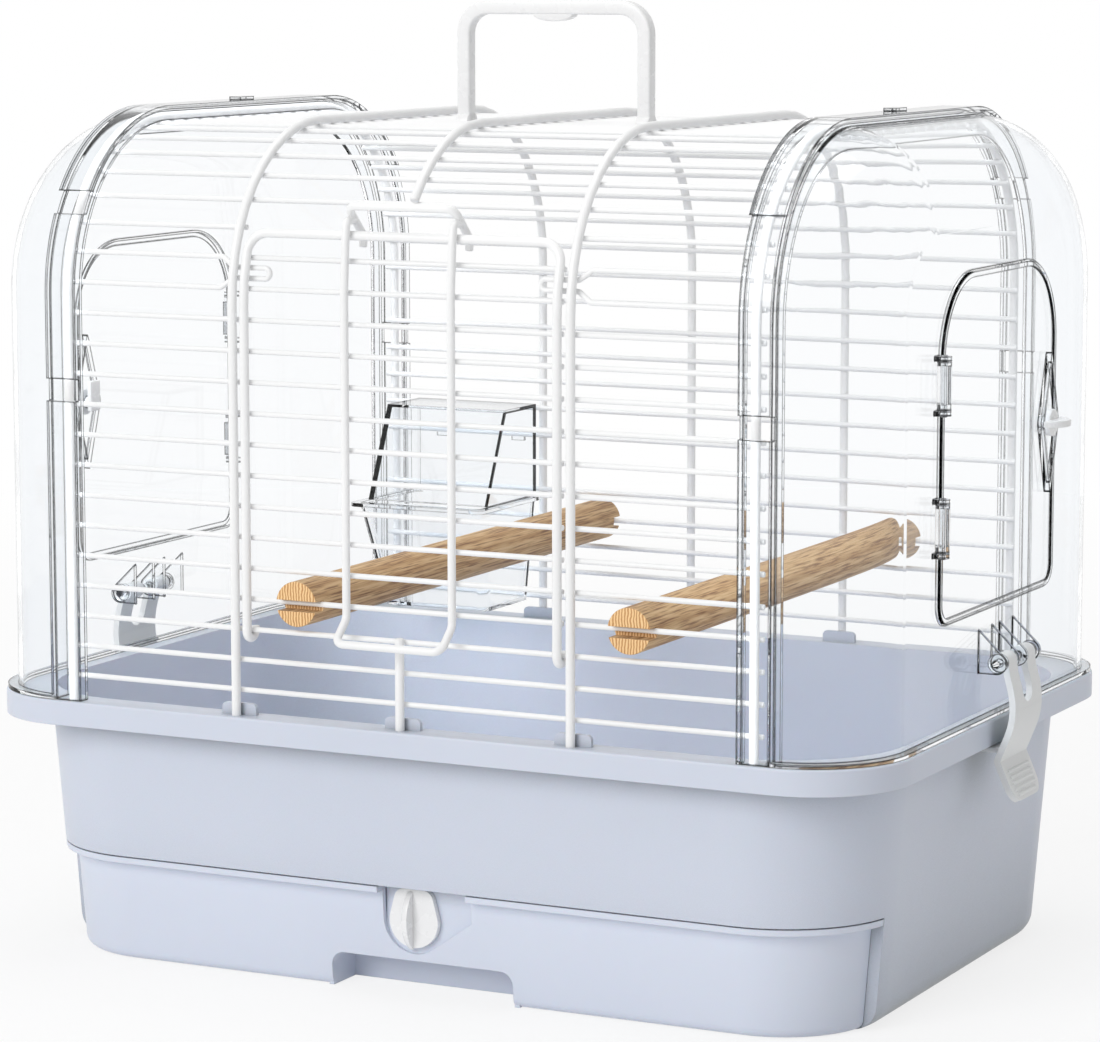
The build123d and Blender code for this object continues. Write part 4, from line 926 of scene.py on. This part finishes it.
# %% [markdown]
# ## Grip fin of the knob
# The fin is a slice of a larger disc that stands across the knob, cut off behind with
# a bisect. One long edge is rounded further, where the thumb pushes.

# %% Grip fin
FIN_OUT, FIN_THICK, FIN_R, THUMB_ROUND = 6.0, 3.4, 16.4, 2.2
fin_middle = (KNOB_X - 0.3 - FIN_THICK / 2, KNOB_FRONT - FIN_OUT + FIN_R, KNOB_Z + 0.4)
fin = rod(FIN_R, FIN_THICK, fin_middle, "x", 160)
bpy.ops.object.mode_set(mode="EDIT")
bpy.ops.mesh.select_all(action="SELECT")
bpy.ops.mesh.bisect(plane_co=(0, (KNOB_FRONT + 0.6) * MM, 0), plane_no=(0, 1, 0), clear_outer=True,
                    use_fill=True)
thumb_end = (FIN_OUT - FIN_R + 6.5) * MM
pick_edges(fin, lambda a, b: max(a.x, b.x) < 0 and max(a.y, b.y) < thumb_end)
bpy.ops.mesh.bevel(offset=THUMB_ROUND * MM, segments=6)
bpy.ops.object.mode_set(mode="OBJECT")
print("fin", len(fin.data.polygons), "faces")

# %% [markdown]
# ## Behind the drawer's front
# A round shaft passes through the front, and a bar across its end keeps the knob from
# pulling out and locks the drawer when it is turned.

# %% Shaft and keeper of the knob
SHAFT_R, SHAFT_LONG, KEEPER_SIZE = 3, 12, (8, 2, 16)
shaft = rod(SHAFT_R, SHAFT_LONG, (KNOB_X, KNOB_BACK + SHAFT_LONG / 2, KNOB_Z), "y", 40)
keeper = block(KEEPER_SIZE, (KNOB_X, KNOB_BACK + SHAFT_LONG - 1, KNOB_Z - 4))
soften(keeper, 0.5, 2)
knob = end_piece(joined([disc, fin, shaft, keeper], "drawer_knob"), "drawer_turn_knob", white_hard, 40)
stand_for(knob, "drawer_knob", "white_knob", "drawer_knob")
print(knob.name, len(knob.data.polygons), "faces")

# %% [markdown]
# ## Side clasps
# Each clasp is one strip of plastic, bowed over the rim and kicked out into a thumb
# tab. The strip is bent like a wire with a flat section, and the end of the tab is
# rounded with a wide bevel on its two corner edges.

# %% Clasp strip
CLASP_HALF, CLASP_THICK, TAB_ROUND = 16.4, 2.8, 7.5
WAIST, TAB_END = Vector((218.4, 0, 102.6)), Vector((226.2, 0, 84.9))
clasp_route = [(221.8, 0, 146.6), (221.8, 0, 141.5), (225.3, 0, 131.0), (225.1, 0, 119.0), WAIST, TAB_END]
down = (TAB_END - WAIST).normalized()
strip = end_piece(bend_bar(clasp_route, [25, 40, 30, 1.9], CLASP_THICK, 2 * CLASP_HALF), "clasp", shaded_clasp_white)


def along_tab(point):
    """How far a point of the mesh lies past the end of the tab, in millimetres."""
    return (point / MM - TAB_END).dot(down)


bpy.ops.object.mode_set(mode="EDIT")
pick_edges(strip, lambda a, b: min(along_tab(a), along_tab(b)) > -0.5 and abs(a.y - b.y) < 1e-6)
bpy.ops.mesh.bevel(offset=TAB_ROUND * MM, segments=12)
bpy.ops.object.mode_set(mode="OBJECT")
print("strip", len(strip.data.polygons), "faces")

# %% [markdown]
# ## Fork and pin hole
# The upper end of the clasp is a fork: a slot with a round foot runs down between two
# arms, which turn on a clear pin. A barrel round the pin thickens the arms. Slot and
# pin hole are cut through strip and barrel together, as in the mould.

# %% Fork of the clasp
PIN_X, PIN_Z, PIN_BOSS, PIN_HOLE = 219.4, 145.6, 3.9, 1.68
FORK_HALF, SLOT_FOOT = 6.0, 127.0
SLOT_RUN = 50.0                          # long enough to pass out of the top
barrel = rod(PIN_BOSS, 2 * CLASP_HALF, (PIN_X, 0, PIN_Z), "y", 64)
cut_away([strip, barrel], block((SLOT_RUN, 2 * FORK_HALF, SLOT_RUN),
                                (PIN_X, 0, SLOT_FOOT + FORK_HALF + SLOT_RUN / 2)))
cut_away([strip, barrel], rod(FORK_HALF, SLOT_RUN, (PIN_X, 0, SLOT_FOOT + FORK_HALF), "x", 48))
cut_away([strip, barrel], rod(PIN_HOLE, SLOT_RUN, (PIN_X, 0, PIN_Z), "y", 40))
soften(strip, 0.4, 2)
soften(barrel, 0.4, 2)
print("fork", len(strip.data.polygons), "faces")

# %% [markdown]
# ## Catch and grip ribs
# A thick catch behind the waist hooks under the rim's skirt. Five thin ribs across
# the tab give the thumb its grip; the last is shorter, where the tab is rounded. The
# left clasp is a mirrored copy.

# %% Catch, ribs and both clasps
CATCH_SIZE, CATCH_PLACE = (10.4, 21.3, 2.4), (214.0, 0, 106.3)
RIB_R, RIB_FIRST, RIB_PITCH, RIB_LENGTHS = 0.85, 6.0, 2.7, (25, 25, 25, 25, 21)
out = Vector((-down.z, 0, down.x))
catch = block(CATCH_SIZE, CATCH_PLACE)
soften(catch, 0.7)
clasp_parts = [strip, barrel, catch]
for k, length in enumerate(RIB_LENGTHS):
    rib_at = WAIST + down * (RIB_FIRST + RIB_PITCH * k) + out * (CLASP_THICK / 2 - 0.05)
    rib = rod(RIB_R, length, rib_at, "y", 16)
    soften(rib, 0.3, 2)
    clasp_parts.append(rib)
right_clasp = end_piece(joined(clasp_parts, "clasp"), "right_side_clasp", shaded_clasp_white, 40)
left_clasp = mirrored(right_clasp, "left_side_clasp")
stand_for(right_clasp, "right_clasp", "white_clasp", "right_clasp")
stand_for(left_clasp, "left_clasp", "white_clasp", "left_clasp")
print(right_clasp.name, len(right_clasp.data.polygons), "faces")

# %% [markdown]
# ## Latch knobs of the end doors
# A latch knob is a short hub on the outside of its door, and a thin shaft that passes
# through it to a blade, which catches behind the shell.

# %% Hub, shaft and blade
LATCH_Y, LATCH_Z, LATCH_SEAT, WING_SEAT, SHAFT_END = 58.5, 240.5, 212.3, 214.3, 208.0
HUB_R, LATCH_SHAFT_R, BLADE_SIZE = 6.0, 2.6, (2.2, 8, 14)
latch_parts = []
for radius, x_from, x_to in ((HUB_R, LATCH_SEAT, WING_SEAT + 1), (LATCH_SHAFT_R, SHAFT_END, WING_SEAT)):
    hub = rod(radius, x_to - x_from, ((x_from + x_to) / 2, LATCH_Y, LATCH_Z), "x", 56)
    soften(hub, 0.5)
    latch_parts.append(hub)
blade = block(BLADE_SIZE, (SHAFT_END - 0.4, LATCH_Y, LATCH_Z + 3))
soften(blade, 0.6)
latch_parts.append(blade)
print(len(latch_parts), "parts of the latch under its wing")

# %% [markdown]
# ## Wing of the latch
# The wing to turn it by is a slice of a disc, thin and rounded at its rim. The disc's
# radius follows from how long the wing is and how far it stands out, and a bisect
# keeps only the part outside its seat.

# %% Wing and both latch knobs
WING_HALF, WING_OUT, WING_THICK = 11.0, 8.2, 3.0
wing_r = (WING_HALF ** 2 + WING_OUT ** 2) / (2 * WING_OUT)
wing = rod(wing_r, WING_THICK, (WING_SEAT + WING_OUT - wing_r, LATCH_Y, LATCH_Z), "z", 128)
bpy.ops.object.mode_set(mode="EDIT")
bpy.ops.mesh.select_all(action="SELECT")
bpy.ops.mesh.bisect(plane_co=(WING_SEAT * MM, 0, 0), plane_no=(-1, 0, 0), clear_outer=True, use_fill=True)
bpy.ops.object.mode_set(mode="OBJECT")
soften(wing, 1.0, 4)
right_latch = end_piece(joined(latch_parts + [wing], "latch"), "right_latch", white_hard, 40)
left_latch = mirrored(right_latch, "left_latch", about_y=True)
stand_for(right_latch, "right_latch_knob", "white_latch", "right_latch_knob")
stand_for(left_latch, "left_latch_knob", "white_latch", "left_latch_knob")
print(right_latch.name, len(right_latch.data.polygons), "faces")

# %% [markdown]
# ## White where it is looked at
# The room is white to the eye but dimmer as a light, so that white parts keep their
# shading. The Light Path node tells the two apart: a ray that looks straight, off a
# shine or through a clear part sees the white, and every other ray gets the dimmer
# light.

# %% Which rays look
def seen_directly(tree):
    """1 where a ray looks straight, off a shine or through a clear part, otherwise 0."""
    rays = tree.nodes.new("ShaderNodeLightPath")
    total = rays.outputs["Is Camera Ray"]
    for kind in ("Is Glossy Ray", "Is Transmission Ray"):
        either = tree.nodes.new("ShaderNodeMath")
        either.operation = "MAXIMUM"
        tree.links.new(total, either.inputs[0])
        tree.links.new(rays.outputs[kind], either.inputs[1])
        total = either.outputs["Value"]
    return total


print("rays that look: camera, glossy and transmission")

# %% [markdown]
# ## Floor
# The floor is matt white paper. Where it is looked at, part of its white is its own,
# and more of it far from the carrier, so that only a soft shadow shows.

# %% Floor
FLOOR_OWN_WHITE = 0.8
FADE_FROM, FADE_TO = 0.35, 1.6           # metres from the carrier's middle

bpy.ops.mesh.primitive_plane_add(size=30)
floor = bpy.context.object
floor.name = "floor"
paper = Finish("white_paper")
paper.set(Base_Color=srgb(0.985, 0.985, 0.985), Roughness=0.9, Specular_IOR_Level=0.1)
glow = paper.add("Emission", Strength=1.0)
away = paper.add("VectorMath", operation="LENGTH")
far = paper.add("MapRange", From_Min=FADE_FROM, From_Max=FADE_TO, To_Min=FLOOR_OWN_WHITE, To_Max=1.0)
own_white = paper.add("Math", operation="MULTIPLY")
paper.join(paper.place, away.inputs[0])
paper.join(away.outputs["Value"], far.inputs["Value"])
paper.join(far.outputs["Result"], own_white.inputs[0])
paper.join(seen_directly(paper.material.node_tree), own_white.inputs[1])
paper.blend_shaders(own_white.outputs["Value"], paper.shader.outputs["BSDF"], glow.outputs["Emission"])
floor.data.materials.append(paper.material)
print("floor", round(floor.dimensions.x), "m wide")

# %% [markdown]
# ## World
# The world is plain white, with its strength lowered for the rays that only light.

# %% World
WORLD_LIGHT = 0.40

world = bpy.context.scene.world or bpy.data.worlds.new("world")
bpy.context.scene.world = world
world.use_nodes = True
sky = world.node_tree
back = sky.nodes["Background"]
back.inputs["Color"].default_value = WHITE
level = sky.nodes.new("ShaderNodeMapRange")
level.inputs["To Min"].default_value = WORLD_LIGHT
sky.links.new(seen_directly(sky), level.inputs["Value"])
sky.links.new(level.outputs["Result"], back.inputs["Strength"])
print("world light", WORLD_LIGHT)

# %% [markdown]
# ## Lamps
# One large soft lamp from the front left gives the tub a bright front and a grey end.
# A weaker one overhead lights the roof and the perches.

# %% Lamps
def lamp(name, place, aim, size, power):
    """A square lamp of a size in metres and a power in watts, aimed at a point."""
    bpy.ops.object.light_add(type="AREA", location=place)
    light = bpy.context.object
    light.name = name
    light.data.size = size
    light.data.energy = power
    light.rotation_euler = (Vector(aim) - Vector(place)).to_track_quat("-Z", "Y").to_euler()
    print(name, "lamp,", power, "W")


CABIN_MIDDLE = (0, 0, 0.2)
lamp("key", (-0.9, -3.0, 1.7), CABIN_MIDDLE, 1.8, 52)
lamp("top", (0.0, 0.2, 2.6), CABIN_MIDDLE, 1.8, 22)
